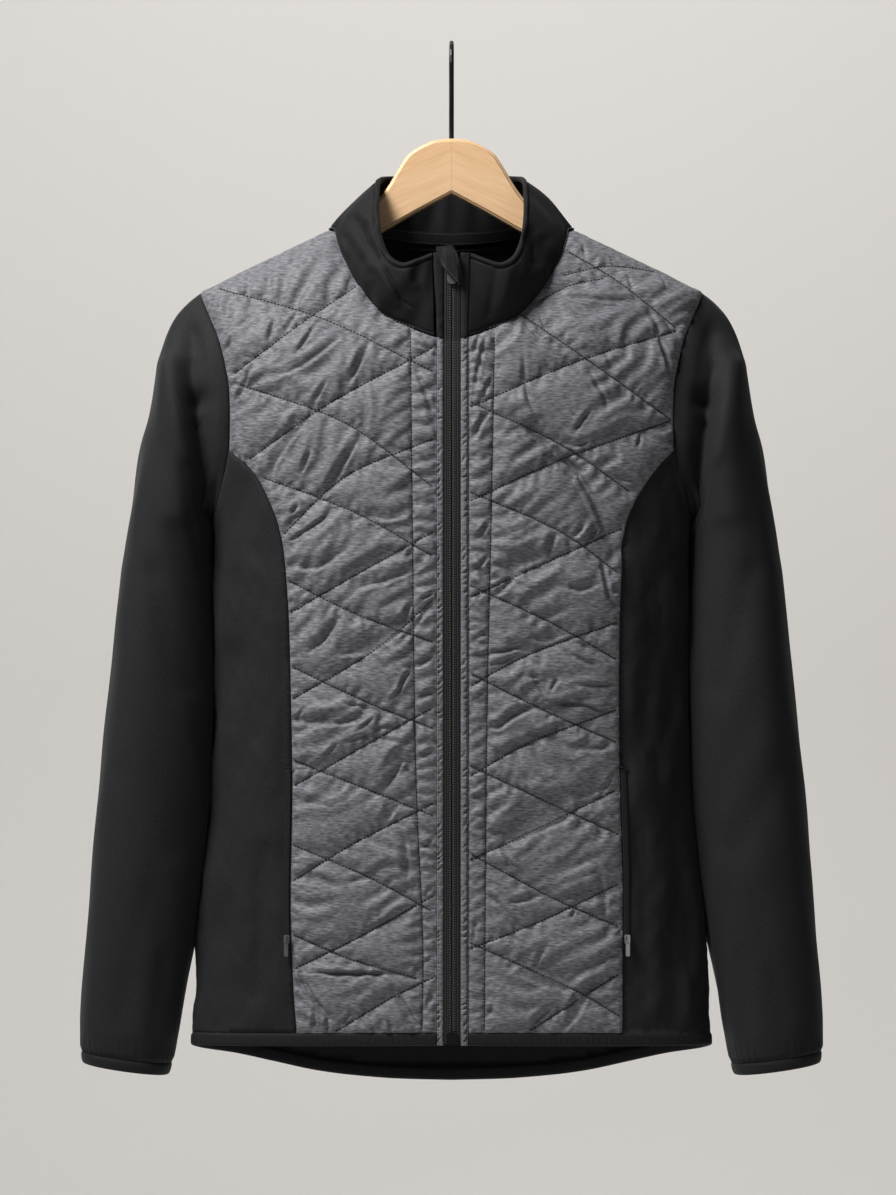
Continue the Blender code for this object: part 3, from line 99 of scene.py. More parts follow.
# Where the neck seam runs: x out from the middle, z, and 0 on the front or 1 on the back.
NECK_SEAM = {
    "x": (0, 17, 34, 51.7, 63, 74.4, 83.5, 91, 96.3, 88, 60, 30, 0),
    "z": (-244.2, -239.8, -232.6, -223.4, -211.8, -196.7, -181.6, -165.5, -151, -153.5, -159, -164, -166),
    "behind": (0, 0, 0, 0, 0, 0, 0, 0, 0, 1, 1, 1, 1),
}
# The armhole seam, the same on the front and the back.
ARMHOLE = {
    "z": (-392, -384, -375, -360, -340, -325, -303, -282, -264, -242, -220, -210, -202),
    "x": (193, 191.8, 189, 185, 180.5, 178.3, 178, 178.6, 181.5, 187, 196, 200.3, 203.5),
}
# The seam between quilting and side panel, for each side.
PRINCESS_SEAM = {
    "z": (-870, -799, -766, -693, -594, -542, -471, -442, -414, -390, -371, -349, -327),
    "right": (122, 124.4, 126.8, 129.2, 127.6, 128.4, 130, 131.6, 134, 138.8, 146, 157.2, 178.2),
    "left": (137.2, 137.2, 137.2, 137.2, 134.8, 134, 134.4, 135.6, 136.4, 139.6, 147.5, 161.2, 178.2),
}
SIDE_BACK_SEAM_X = 158.0
# The sleeve's points round the armhole, and which of the armhole's points the two side seams start from.
SLEEVE_COLUMNS = 28
PRINCESS_AT = 9
SIDE_BACK_AT = 10
# The hem's lower edge, by share of the way from centre front to centre back.
HEM = {
    "share": (0, 0.25, 0.45, 0.5, 0.554, 0.609, 0.681, 0.761, 0.826, 0.913, 1),
    "z": (-808, -809, -811, -813, -818, -822.5, -830.3, -838.6, -842.7, -845.8, -846.8),
}
# Quilting, the wearer's right front: each row runs from (x, z) to (x, z), the middle point bends it.
QUILT_RIGHT = (
    # x0, z0, x1, z1, x2, z2
    (-174, -269, -111, -223, -76, -199),
    (-162, -338, -104, -298, -8, -246),
    (-134, -398, -84, -352, -8, -320),
    (-130, -462, -82, -434, -8, -393),
    (-128, -531, -62, -491, -8, -445),
    (-128, -601, -60, -562, -8, -533),
    (-128, -677, -82, -648, -8, -610),
    (-128, -748, -76, -722, -8, -684),
    (-98, -800, -45, -768, -8, -750),
    (-187, -200, -111, -223, -8, -272),
    (-173, -277, -88, -308, -8, -366),
    (-150, -353, -77, -381, -8, -420),
    (-131, -435, -76, -462, -8, -487),
    (-128, -504, -64, -534, -8, -556),
    (-127, -579, -68, -602, -8, -626),
    (-127, -647, -68, -672, -8, -704),
    (-128, -719, -80, -739, -28, -754),
)
QUILT_LEFT = (
    (90, -190, 130, -182, 165, -186),
    (70, -212, 97, -198, 124, -192),
    (8, -300, 107, -258, 180, -235),
    (8, -375, 90, -338, 178, -306),
    (8, -452, 60, -428, 138, -393),
    (8, -524, 56, -497, 134, -468),
    (8, -596, 60, -566, 134, -538),
    (8, -662, 60, -638, 134, -602),
    (8, -733, 76, -706, 135, -678),
    (63, -796, 107, -768, 136, -750),
    (94, -170, 130, -192, 180, -232),
    (54, -222, 107, -258, 178, -308),
    (8, -290, 86, -326, 142, -364),
    (8, -362, 88, -397, 134, -430),
    (8, -436, 85, -472, 134, -500),
    (8, -506, 76, -540, 134, -566),
    (8, -580, 84, -616, 136, -640),
    (8, -650, 86, -692, 136, -714),
    (8, -722, 107, -768, 136, -786),
)
FACING_STITCH = {
    "z": (-803, -740, -612, -548, -372, -236),
    "right": (-24, -23, -28, -29.5, -31.6, -33),
    "left": (26, 26.4, 27.4, 28, 31.6, 34),
}
# Soft folds on the body: from (x, z) to (x, z), how wide, how deep (a trough is below 0), 0 front or 1 back.
BODY_FOLDS = (
    # x0, z0, x1, z1, width, depth, behind
    (66, -316, 96, -344, 9, -5.0, 0),
    (96, -344, 130, -410, 9, -5.5, 0),
    (-150, -300, -120, -360, 14, -2.5, 0),
    (-178, -500, -186, -760, 16, -4.0, 0),
    (-158, -430, -150, -640, 14, 3.0, 0),
    (176, -480, 188, -740, 15, -4.0, 0),
    (156, -600, 162, -790, 14, 3.0, 0),
    (-90, -230, -60, -520, 20, -4.5, 1),
    (-20, -330, -34, -800, 24, -5.5, 1),
    (60, -300, 74, -780, 22, -5.0, 1),
    (120, -260, 104, -480, 18, -4.0, 1),
    (-130, -400, -120, -790, 20, -5.0, 1),
    (18, -560, 24, -840, 18, 4.0, 1),
)
# Sleeves, the wearer's left one: by distance down the crown line.
CROWN = {
    "z": (-831, -825, -817, -809, -797, -776, -736, -695, -654, -614, -573, -532, -492, -451, -410, -370,
          -328, -305, -268, -243.7, -223.4, -209.5, -202),
    "x": (297.5, 298.5, 299.5, 300.5, 301, 300, 297, 293.5, 290.5, 287, 283, 278.5, 274, 269.5, 264.5, 258.5,
          252, 245.6, 239, 233.5, 225, 213, 203.5),
}
UNDER = {
    "step": (0, 1, 2, 3, 4, 5, 6, 7, 8, 9, 10, 11, 12),
    "z": (-391.8, -388.6, -394, -420, -470, -532, -597, -662, -711, -757, -797, -817, -837),
    "x": (193, 195.5, 195.0, 192.5, 189.0, 188.0, 190.0, 196.0, 205.5, 215, 221.6, 226, 231.5),
}
SLEEVE_RINGS = {
    # millimetres down the crown, step along the under line, depth in front of and behind the middle
    "down": (0, 12, 28, 60, 120, 190, 300, 420, 520, 590, 615, 630, 641),
    "under": (0, 0.8, 1.5, 2.0, 2.25, 2.75, 4.7, 6.3, 7.85, 9.4, 10.5, 11.45, 12),
    "front": (42, 43, 44, 45, 48, 53, 56, 53, 46, 38.5, 35.5, 33, 31),
    "back": (30, 31, 33, 38, 44, 48, 50, 48, 45, 42, 37, 34, 32),
    # how far behind the middle the under line lies
    "set_back": (0, 0, 0, 0, 6, 14, 20, 20, 12, 2, 0, 0, 0),
}
SLEEVE_SQUARENESS = 2.2
SLEEVE_CLEARANCE = 1.2
CUFF_SEAM_DOWN = 630.0
SLEEVE_FOLDS = (
    # x0, z0, x1, z1, width, depth, behind
    (209, -236, 203, -290, 9, -9.0, 0),
    (203, -290, 194, -376, 9, -10.0, 0),
    (226, -262, 222, -380, 11, 4.0, 0),
    (240, -430, 216, -520, 12, -4.5, 0),
    (262, -590, 226, -650, 13, -4.0, 0),
    (246, -690, 268, -790, 10, -3.0, 0),
    (212, -240, 206, -330, 11, -7.0, 1),
    (230, -330, 210, -440, 13, -6.0, 1),
    (268, -520, 226, -600, 13, -5.0, 1),
    (244, -660, 262, -760, 12, -4.0, 1),
)
# The collar's top edge against the neck seam, front to back.
COLLAR_TOP = {
    "x": (16, 27, 38.5, 48, 54, 57, 58.5, 58, 54, 38, 20, 0),
    "y": (-69, -72, -73, -69, -61, -51, -34, -9, 12, 34, 44, 47),
    "z": (-174, -178.5, -182, -177, -165, -152, -133, -112, -106, -103, -101, -100.5),
    "neck_index": (0.8, 2, 3, 4, 5, 6, 7, 8, 9, 10, 11, 12),
    "bulge": (1, 3, 7, 8, 6, 4, 2, 2, 2, 2, 1.5, 1.5),
}
# The hanger, right half: top and lower outlines from the middle outwards.
HANGER_THICKNESS = 12.0
HANGER_TOP = {
    "x": (0, 12, 24, 34.6, 42.7, 51, 59.5, 72, 86, 95),
    "z": (-76, -77.2, -81.8, -88.5, -100, -114, -125.5, -137.5, -149, -154.8),
}
HANGER_FOOT = {
    "x": (0, 28, 55, 100, 150, 178, 190),
    "z": (-121, -136, -151.5, -177, -200, -211, -212),
}
HANGER_TIP_X = 194.0
HANGER_UNDER_CLOTH = 2.5


def curve_through(at, values, where):
    """A smooth curve through the table's points that never overshoots them. The table may run either way."""
    at, values = np.asarray(at, float), np.asarray(values, float)
    if at[0] > at[-1]:
        at, values = at[::-1], values[::-1]
    where = np.clip(np.asarray(where, float), at[0], at[-1])
    gap = np.diff(at)
    slope = np.diff(values) / gap
    tangent = np.zeros(len(at))
    same = slope[:-1] * slope[1:] > 0
    tangent[1:-1][same] = 2 * slope[:-1][same] * slope[1:][same] / (slope[:-1] + slope[1:])[same]
    tangent[0], tangent[-1] = slope[0], slope[-1]
    i = np.clip(np.searchsorted(at, where, side="right") - 1, 0, len(gap) - 1)
    t = (where - at[i]) / gap[i]
    return (
        (1 + 2 * t) * (1 - t) ** 2 * values[i]
        + t * (1 - t) ** 2 * gap[i] * tangent[i]
        + t * t * (3 - 2 * t) * values[i + 1]
        + t * t * (t - 1) * gap[i] * tangent[i + 1]
    )


def column(table, name, key, where):
    """The table's named column where its key column reaches those values."""
    return curve_through(table[key], table[name], where)


def unit(vectors):
    return vectors / np.maximum(np.linalg.norm(vectors, axis=-1, keepdims=True), 1e-9)


TURNS = 120
LEVEL_STEP = 2.0
LEVELS = np.arange(-860, -145.9, LEVEL_STEP)


def half_sections():
    """x, y and distance round from the centre front, for each level and each turn from front to back."""
    turn = np.linspace(0, math.pi, TURNS + 1)
    power = 2 / SECTION_SQUARENESS
    wide = np.abs(np.sin(turn)) ** power
    deep = np.abs(np.cos(turn)) ** power
    half = column(BODY_SECTIONS, "half_width", "z", LEVELS)[:, None]
    front = column(BODY_SECTIONS, "front", "z", LEVELS)[:, None]
    back = column(BODY_SECTIONS, "back", "z", LEVELS)[:, None]
    x = half * wide
    y = np.where(turn <= math.pi / 2, -front * deep, back * deep)
    steps = np.hypot(np.diff(x, axis=1), np.diff(y, axis=1))
    around = np.concatenate([np.zeros((len(LEVELS), 1)), np.cumsum(steps, axis=1)], axis=1)
    return x, y, around


SECTION_X, SECTION_Y, SECTION_AROUND = half_sections()


def at_level(table, z):
    """The table's row at each height, mixed from the two nearest levels."""
    place = np.clip((np.asarray(z, float) - LEVELS[0]) / LEVEL_STEP, 0, len(LEVELS) - 1.001)
    i = place.astype(int)
    t = (place - i)[:, None]
    return table[i] * (1 - t) + table[i + 1] * t


def lookup(rows_from, rows_to, value):
    """For each row, what rows_to holds where rows_from, which rises, reaches value."""
    i = np.clip((rows_from <= value[:, None]).sum(axis=1) - 1, 0, rows_from.shape[1] - 2)
    k = np.arange(len(value))
    low, high = rows_from[k, i], rows_from[k, i + 1]
    t = np.clip((value - low) / np.maximum(high - low, 1e-9), 0, 1)
    return rows_to[k, i] * (1 - t) + rows_to[k, i + 1] * t


def bare_surface(s, z):
    """Points of the body's middle layer without its folds, s round from the centre front at height z."""
    s, z = np.asarray(s, float), np.asarray(z, float)
    around = at_level(SECTION_AROUND, z)
    side = np.where(s < 0, -1.0, 1.0)
    x = lookup(around, at_level(SECTION_X, z), np.abs(s)) * side
    y = lookup(around, at_level(SECTION_Y, z), np.abs(s))
    return np.stack([x, y, z], axis=1)


def half_round(z):
    """The distance round from the centre front to the centre back."""
    return at_level(SECTION_AROUND, z)[:, -1]


def s_of_x(x, z, behind=0):
    """The distance round at which the section at z reaches x, on the front or on the back."""
    x, z = np.broadcast_arrays(np.asarray(x, float), np.asarray(z, float))
    x, z = np.atleast_1d(x), np.atleast_1d(z)
    xs, around = at_level(SECTION_X, z), at_level(SECTION_AROUND, z)
    middle = TURNS // 2
    front = lookup(xs[:, : middle + 1], around[:, : middle + 1], np.abs(x))
    back = lookup(xs[:, :middle - 1:-1], around[:, :middle - 1:-1], np.abs(x))
    return np.where(np.broadcast_to(behind, x.shape) > 0, back, front) * np.where(x < 0, -1.0, 1.0)


def surface_normal(s, z):
    """Which way the bare surface faces."""
    step = 1.0
    z = np.clip(np.asarray(z, float), LEVELS[0] + 2, LEVELS[-1] - 2)
    s = np.asarray(s, float)
    along = bare_surface(s + step, z) - bare_surface(s - step, z)
    up = bare_surface(s, z + step) - bare_surface(s, z - step)
    return unit(np.cross(along, up))


def bell(value, width):
    """1 where the value is 0, falling off smoothly over about that width."""
    return np.exp(-((value / width) ** 2))


def rounded(edge, radius, least=0.05):
    """How full a wall is at a distance from its edge, so that the edge is round."""
    return np.sqrt(np.clip(1 - np.clip(1 - edge / radius, 0, 1) ** 2, least, 1))


def crowded_ends(count):
    """Shares from 0 to 1 that lie closer together at both ends."""
    return 0.5 - 0.5 * np.cos(np.linspace(0, math.pi, count))


def from_segment(x, z, x0, z0, x1, z1):
    """Each point's distance from the line between two points."""
    dx, dz = x1 - x0, z1 - z0
    along = ((x - x0) * dx + (z - z0) * dz) / (dx * dx + dz * dz)
    t = np.clip(along, 0, 1)
    return np.hypot(x - x0 - t * dx, z - z0 - t * dz)


def fold_height(points, folds):
    """How far the folds move each point outwards. They fade out beside the hanger's plane."""
    height = np.zeros(len(points))
    behind = points[:, 1] > 0
    for x0, z0, x1, z1, width, depth, is_behind in folds:
        away = from_segment(points[:, 0], points[:, 2], x0, z0, x1, z1)
        height += np.where(behind == bool(is_behind), depth * bell(away, width), 0)
    return height * np.clip(np.abs(points[:, 1]) / FOLD_FADE, 0, 1)


def surface(s, z, out=0.0):
    """Points of the body's middle layer, folds included, moved out along its normals."""
    points = bare_surface(s, z)
    normals = surface_normal(s, z)
    height = fold_height(points, BODY_FOLDS) * seam_calm(z)
    return points + normals * (height + out)[:, None]


def seam_calm(z):
    """Folds fade out towards the hem and the shoulders, where the binding and the hanger hold the cloth."""
    z = np.asarray(z, float)
    hem = np.clip((z - HEM_CALM_Z) / 25, 0, 1)
    top = np.clip((SHOULDER_CALM_Z - z) / 20, 0, 1)
    return hem * top


def grid_normals(grid, closed):
    """The unit normals of a grid of points, from its neighbours; rows run down and columns round."""
    if closed:
        along = np.roll(grid, -1, axis=1) - np.roll(grid, 1, axis=1)
    else:
        along = np.gradient(grid, axis=1)
    return unit(np.cross(along, np.gradient(grid, axis=0)))


def run_of(line):
    """How far along the line each of its points lies."""
    return np.concatenate([[0], np.cumsum(np.linalg.norm(np.diff(line, axis=0), axis=1))])


def points_at(at, run, rows):
    """The rows, which belong to a line's points, at distances along that line."""
    return np.stack([np.interp(at, run, part) for part in rows.T], axis=1)


def spaced_to(line, parts):
    """The line as that many equal stretches."""
    run = run_of(line)
    return points_at(np.linspace(0, run[-1], parts + 1), run, line)


def spaced(line, pitch):
    """The line again, its points about pitch apart, both ends kept."""
    line = np.asarray(line, float)
    return spaced_to(line, max(1, round(run_of(line)[-1] / pitch)))


def round_trip(outline):
    """The closed outline with its first point again at the end."""
    return np.concatenate([outline, outline[:1]])


# Points of the fine neck seam for each row of its table.
NECK_FINER = 20


def neck_line():
    """The neck seam from centre front to centre back."""
    s = s_of_x(NECK_SEAM["x"], NECK_SEAM["z"], np.array(NECK_SEAM["behind"]))
    row = np.arange(len(s))
    at = np.linspace(0, len(s) - 1, NECK_FINER * (len(s) - 1) + 1)
    return np.stack([curve_through(row, s, at), curve_through(row, NECK_SEAM["z"], at)], axis=1)


NECK = neck_line()
# Which of its points the shoulder seam starts from.
SHOULDER_CORNER = 170


def neck_z(s):
    """The height of the neck seam at a distance round from the centre front."""
    return np.interp(s, NECK[:, 0], NECK[:, 1])


def ridge_s(z):
    """The distance round to the widest point of the section, between front and back."""
    return at_level(SECTION_AROUND, z)[:, TURNS // 2]


def shoulder_line():
    """The shoulder seam, from the neck to the armhole's tip, a little behind the ridge."""
    corner = NECK[SHOULDER_CORNER]
    z = np.linspace(corner[1], ARMHOLE_TIP_Z, 60)
    t = (z - corner[1]) / (ARMHOLE_TIP_Z - corner[1])
    start = corner[0] - ridge_s(corner[1:])[0]
    return np.stack([ridge_s(z) + start * (1 - t), z], axis=1)


def armhole_line(behind):
    """The front or back of the armhole seam, from its tip to the underarm, both on the ridge's line."""
    t = np.linspace(0, 1, 90)
    z = ARMHOLE_TIP_Z + (UNDERARM_Z - ARMHOLE_TIP_Z) * (3 * t * t - 2 * t**3)
    s = s_of_x(column(ARMHOLE, "x", "z", z), z, behind)
    on_ridge = (z >= ARMHOLE_TIP_Z) | (z <= UNDERARM_Z)
    return np.stack([np.where(on_ridge, ridge_s(z), s), z], axis=1)


# The armhole seam's points, from its tip down to the underarm, which body and sleeve share.
ARMHOLE_FRONT = spaced_to(armhole_line(0), SLEEVE_COLUMNS // 2)
ARMHOLE_BACK = spaced_to(armhole_line(1), SLEEVE_COLUMNS // 2)
FINER = 4
FINE_FRONT = spaced_to(armhole_line(0), SLEEVE_COLUMNS // 2 * FINER)
FINE_BACK = spaced_to(armhole_line(1), SLEEVE_COLUMNS // 2 * FINER)


# The lowest points that the seams are drawn to. The outlines end on the hem above them.
PRINCESS_FOOT_Z, SIDE_BACK_FOOT_Z, BACK_FOOT_Z = -795.0, -825.0, -846.0


def princess_line(side):
    """The seam between one front and its side panel, from the armhole down."""
    s_top, z_top = ARMHOLE_FRONT[PRINCESS_AT]
    z = np.linspace(z_top, PRINCESS_FOOT_Z, 120)
    s = s_of_x(column(PRINCESS_SEAM, "right" if side < 0 else "left", "z", z), z)
    s += (s_top - s[0]) * np.exp((z - z_top) / 12)
    return np.stack([s, z], axis=1)


def side_back_line():
    """The seam between a side panel and the back, from the armhole down."""
    s_top, z_top = ARMHOLE_BACK[SIDE_BACK_AT]
    z = np.linspace(z_top, SIDE_BACK_FOOT_Z, 100)
    s = s_of_x(np.full(len(z), SIDE_BACK_SEAM_X), z, 1)
    s += (s_top - s[0]) * np.exp((z - z_top) / 26)
    return np.stack([s, z], axis=1)


HEM_HALF_ROUND = float(half_round(np.array([FRONT_HEM_Z]))[0])


def hem_z(s):
    """The height of the hem's lower edge at a distance round from the centre front."""
    return column(HEM, "z", "share", np.abs(s) / HEM_HALF_ROUND)


def hem_seam(start, end, count):
    """Points of the seam above the hem binding, between two distances round from the centre front."""
    s = np.linspace(start, end, count)
    return np.stack([s, hem_z(s) + HEM_BINDING_HEIGHT], axis=1)


def join_lines(*lines):
    """One closed outline from lines laid end to end, without the doubled corners."""
    points = [lines[0]]
    for line in lines[1:]:
        points.append(line[1:] if np.allclose(points[-1][-1], line[0], atol=0.05) else line)
    outline = np.concatenate(points)
    return outline[:-1] if np.allclose(outline[0], outline[-1], atol=0.05) else outline


def inset(outline, by):
    """The closed outline with each point moved inwards."""
    before, after = outline - np.roll(outline, 1, axis=0), np.roll(outline, -1, axis=0) - outline
    x, z = outline.T
    twice_area = np.sum(x * np.roll(z, -1) - z * np.roll(x, -1))
    turn = 1.0 if twice_area > 0 else -1.0
    left = [np.stack([-d[:, 1], d[:, 0]], axis=1) * turn for d in (unit(before), unit(after))]
    both = left[0] + left[1]
    stretch = np.maximum(np.sum(both * left[0], axis=1, keepdims=True), 0.5)
    return outline + both / stretch * by


def inside(points, outline):
    """Whether each point is inside the closed outline."""
    x, y = points[:, 0][:, None], points[:, 1][:, None]
    a, b = outline, np.roll(outline, -1, axis=0)
    rise = np.where(b[:, 1] == a[:, 1], 1e-12, b[:, 1] - a[:, 1])
    crosses = (a[:, 1] > y) != (b[:, 1] > y)
    return (crosses & (x < a[:, 0] + (y - a[:, 1]) * (b[:, 0] - a[:, 0]) / rise)).sum(axis=1) % 2 == 1


def nearest_way(points, starts, ends):
    """Each point's distance to the nearest of the segments, and that segment's direction."""
    best, ways = np.full(len(points), 1e9), np.zeros((len(points), 2))
    for a, b, way in zip(starts, ends, unit(ends - starts)):
        away = from_segment(*points.T, *a, *b)
        nearer = away < best
        best[nearer], ways[nearer] = away[nearer], way
    return best, ways


def distance_to(points, starts, ends):
    """Each point's distance to the nearest of the segments."""
    return nearest_way(points, starts, ends)[0]


def segments(lines):
    """The starts and the ends of the lines' straight stretches."""
    starts = [line[:-1] for line in lines]
    ends = [line[1:] for line in lines]
    return np.concatenate(starts), np.concatenate(ends)


def triangulated(outline, lines, pitch):
    """(points, triangles, place of each outline point) inside the outline, with edges along the lines."""
    low, high = outline.min(axis=0), outline.max(axis=0)
    rows = np.arange(low[1] + pitch / 2, high[1], pitch * math.sqrt(3) / 2)
    grid = np.array([(x + (pitch / 2 if k % 2 else 0), z)
                     for k, z in enumerate(rows) for x in np.arange(low[0], high[0], pitch)])
    starts, ends = segments([round_trip(outline)] + lines)
    grid = grid[inside(grid, outline)]
    grid = grid[distance_to(grid, starts, ends) > 0.55 * pitch]
    points, edges = [outline], [(i, (i + 1) % len(outline)) for i in range(len(outline))]
    count = len(outline)
    for line in lines:
        edges += [(count + i, count + i + 1) for i in range(len(line) - 1)]
        count += len(line)
        points.append(line)
    points = np.concatenate(points + [grid])
    found = delaunay_2d_cdt([Vector(p) for p in points], edges, [], 0, 1e-4, True)
    place = {source: i for i, sources in enumerate(found[3]) for source in sources}
    points, faces = np.array([tuple(v) for v in found[0]]), np.array([tuple(f) for f in found[2]])
    faces = faces[inside(points[faces].mean(axis=1), outline)]
    return points, faces, place


def clipped(line, outline, margin):
    """The stretch of the line that lies inside the outline and clear of its edge."""
    fine = spaced(line, 1.5)
    starts, ends = segments([round_trip(outline)])
    good = inside(fine, outline) & (distance_to(fine, starts, ends) > margin)
    kept = np.flatnonzero(good)
    return fine[kept[0] : kept[-1] + 1] if len(kept) > 3 else None


def round_from_back(b, z):
    """The distance round from the centre front for one from the centre back. The wearer's left is above 0."""
    return np.where(b < 0, -1.0, 1.0) * (half_round(z) - np.abs(b))


def on_back(b, z, out):
    """The body's surface by the distance round from the centre back."""
    return surface(round_from_back(b, z), z, out)


FINE_PITCH = 5.2
COARSE_PITCH = FINE_PITCH * 1.5


def quilt_lines(side):
    """The stitch lines of one front, as (s, z) lines on the wearer's left."""
    lines = []
    for x0, z0, x1, z1, x2, z2 in QUILT_RIGHT if side < 0 else QUILT_LEFT:
        t = np.linspace(0, 1, 25)
        x = np.abs(curve_through((0, 0.5, 1), (x0, x1, x2), t))
        z = curve_through((0, 0.5, 1), (z0, z1, z2), t)
        lines.append(np.stack([s_of_x(x, z), z], axis=1))
    z = np.linspace(FACING_STITCH["z"][0], FACING_STITCH["z"][-1], 60)
    x = np.abs(column(FACING_STITCH, "right" if side < 0 else "left", "z", z))
    lines.append(np.stack([s_of_x(x, z), z], axis=1))
    return lines


def front_outline(side):
    """The quilted front's outline on the wearer's left: up the centre, neck, shoulder, armhole, side, hem."""
    edge = abs(STRIP_OUTER_RIGHT if side < 0 else STRIP_OUTER_LEFT)
    foot = hem_z(edge) + HEM_BINDING_HEIGHT
    neck = NECK[(NECK[:, 0] > edge + 0.1) & (NECK[:, 0] < NECK[SHOULDER_CORNER, 0] - 0.1)]
    top = np.array([[edge, neck_z(edge)]])
    princess = princess_line(side)
    hem = hem_seam(princess[-1, 0], edge, 30)
    princess = princess[princess[:, 1] > hem[0, 1] + 0.5]
    princess = np.concatenate([princess, hem[:1]])
    return join_lines(
        spaced([[edge, foot], *top], FINE_PITCH),
        spaced(np.concatenate([top, neck, NECK[SHOULDER_CORNER : SHOULDER_CORNER + 1]]), FINE_PITCH),
        spaced(shoulder_line(), FINE_PITCH),
        FINE_FRONT[: PRINCESS_AT * FINER + 1],
        spaced(princess, FINE_PITCH),
        spaced(hem, FINE_PITCH),
    )


def side_outline(side):
    """The side panel's outline on the wearer's left."""
    princess, back = princess_line(side), side_back_line()
    hem = hem_seam(princess[-1, 0], back[-1, 0], 60)
    princess = princess[princess[:, 1] > hem[0, 1] + 0.5]
    back = back[back[:, 1] > hem[-1, 1] + 0.5]
    return join_lines(
        spaced(np.concatenate([princess, hem[:1]])[::-1], FINE_PITCH),
        FINE_FRONT[PRINCESS_AT * FINER :],
        FINE_BACK[SIDE_BACK_AT * FINER :][::-1],
        spaced(np.concatenate([back, hem[-1:]]), COARSE_PITCH),
        spaced(hem[::-1], COARSE_PITCH),
    )


def from_centre_back(line):
    """A line's distances round, taken from the centre back instead of the centre front."""
    return np.stack([half_round(line[:, 1]) - line[:, 0], line[:, 1]], axis=1)


def back_outline():
    """The back's outline round both halves, by distance from the centre back."""
    side = side_back_line()
    hem = from_centre_back(hem_seam(side[-1, 0], half_round(np.array([BACK_FOOT_Z]))[0], 40))
    hem[-1, 0] = 0
    side = from_centre_back(side)
    side = np.concatenate([side[side[:, 1] > hem[0, 1] + 0.5], hem[:1]])
    neck = from_centre_back(NECK[SHOULDER_CORNER:])
    neck[-1, 0] = 0
    half = join_lines(
        spaced(neck[::-1], COARSE_PITCH),
        spaced(from_centre_back(shoulder_line()), COARSE_PITCH),
        from_centre_back(FINE_BACK[: SIDE_BACK_AT * FINER + 1]),
        spaced(side, COARSE_PITCH),
        spaced(hem, COARSE_PITCH),
    )
    return np.concatenate([half, mirrored(half[1:-1][::-1], -1)])


def mirrored(outline, side):
    """An outline drawn on the wearer's left, on the side that is asked for."""
    return outline * (side, 1)


SLEEVE_BLEND = 75.0
SLEEVE_GAP = 0.3


def line_by_length(table):
    """A function from the distance along the table's line to its point in the XZ plane."""
    x, z = np.array(table["x"], float), np.array(table["z"], float)
    if z[0] < z[-1]:
        x, z = x[::-1], z[::-1]
    along = np.concatenate([[0], np.cumsum(np.hypot(np.diff(x), np.diff(z)))])
    return lambda d: np.stack([curve_through(along, x, d), curve_through(along, z, d)], axis=-1)


def clear_of_body(grid):
    """The sleeve's points moved outwards where they would come too near to the body's side."""
    flat = grid.reshape(-1, 3)
    depth = np.where(flat[:, 1] < 0, column(BODY_SECTIONS, "front", "z", flat[:, 2]),
                     column(BODY_SECTIONS, "back", "z", flat[:, 2]))
    share = np.clip(np.abs(flat[:, 1]) / depth, 0, 1) ** SECTION_SQUARENESS
    half = column(BODY_SECTIONS, "half_width", "z", flat[:, 2]) * (1 - share) ** (1 / SECTION_SQUARENESS)
    beside = np.clip((UNDERARM_Z - flat[:, 2]) / SLEEVE_CLEARANCE, 0, 1)
    flat[:, 0] = np.maximum(flat[:, 0], (half + SLEEVE_CLEARANCE) * beside)
    return flat.reshape(grid.shape)


COLLAR_COLUMNS = 38
# How far the collar leans forward at its top edge.
COLLAR_LEAN = 3.0


def collar_half(columns):
    """Neck seam points with their normals, top points and bulges, from the front edge to the centre back."""
    index = np.linspace(COLLAR_TOP["neck_index"][0], COLLAR_TOP["neck_index"][-1], columns)
    place = points_at(index * NECK_FINER, np.arange(len(NECK)), NECK)
    below = surface(place[:, 0], place[:, 1])
    up = place + (0, SEAM_GAP)
    seam = surface(up[:, 0], up[:, 1])
    seam = below + unit(seam - below) * SEAM_GAP
    top = np.stack([column(COLLAR_TOP, key, "neck_index", index) for key in ("x", "y", "z")], axis=1)
    bulge = column(COLLAR_TOP, "bulge", "neck_index", index)
    return seam, surface_normal(*place.T), top, bulge


def both_sides(half, flip):
    """A half's rows from the wearer's right edge round to the wearer's left edge."""
    return np.concatenate([half * flip, half[-2::-1]])


def collar_form(columns, shares):
    """The collar's middle layer from the wearer's right edge round to the left one, as (points, normals, each
    row's share of the way down, neck seam, height). shares makes the rows' shares from the height."""
    seam, normal, top, bulge = collar_half(columns // 2 + 1)
    flip = np.array((-1, 1, 1))
    seam, normal, top = (both_sides(part, flip) for part in (seam, normal, top))
    bulge = both_sides(bulge, 1)
    tall = np.linalg.norm(seam - top, axis=1)
    t = shares(tall)
    grid = top[None] * (1 - t[:, :, None]) + seam[None] * t[:, :, None]
    normals = grid_normals(grid, False)
    grid = grid + normals * (bulge[None] * 4 * t * (1 - t))[:, :, None]
    normals = grid_normals(grid, False)
    normals[-1] = normal
    return grid, normals, t, seam, tall


def centre_depth(z):
    """How far in front of the hanger the centre front lies, body and collar."""
    lower = column(BODY_SECTIONS, "front", "z", np.minimum(z, NECK_FRONT_Z))
    rise = np.clip((z - NECK_FRONT_Z) / (COLLAR_TOP_FRONT_Z - NECK_FRONT_Z), 0, 1)
    return lower + COLLAR_LEAN * rise


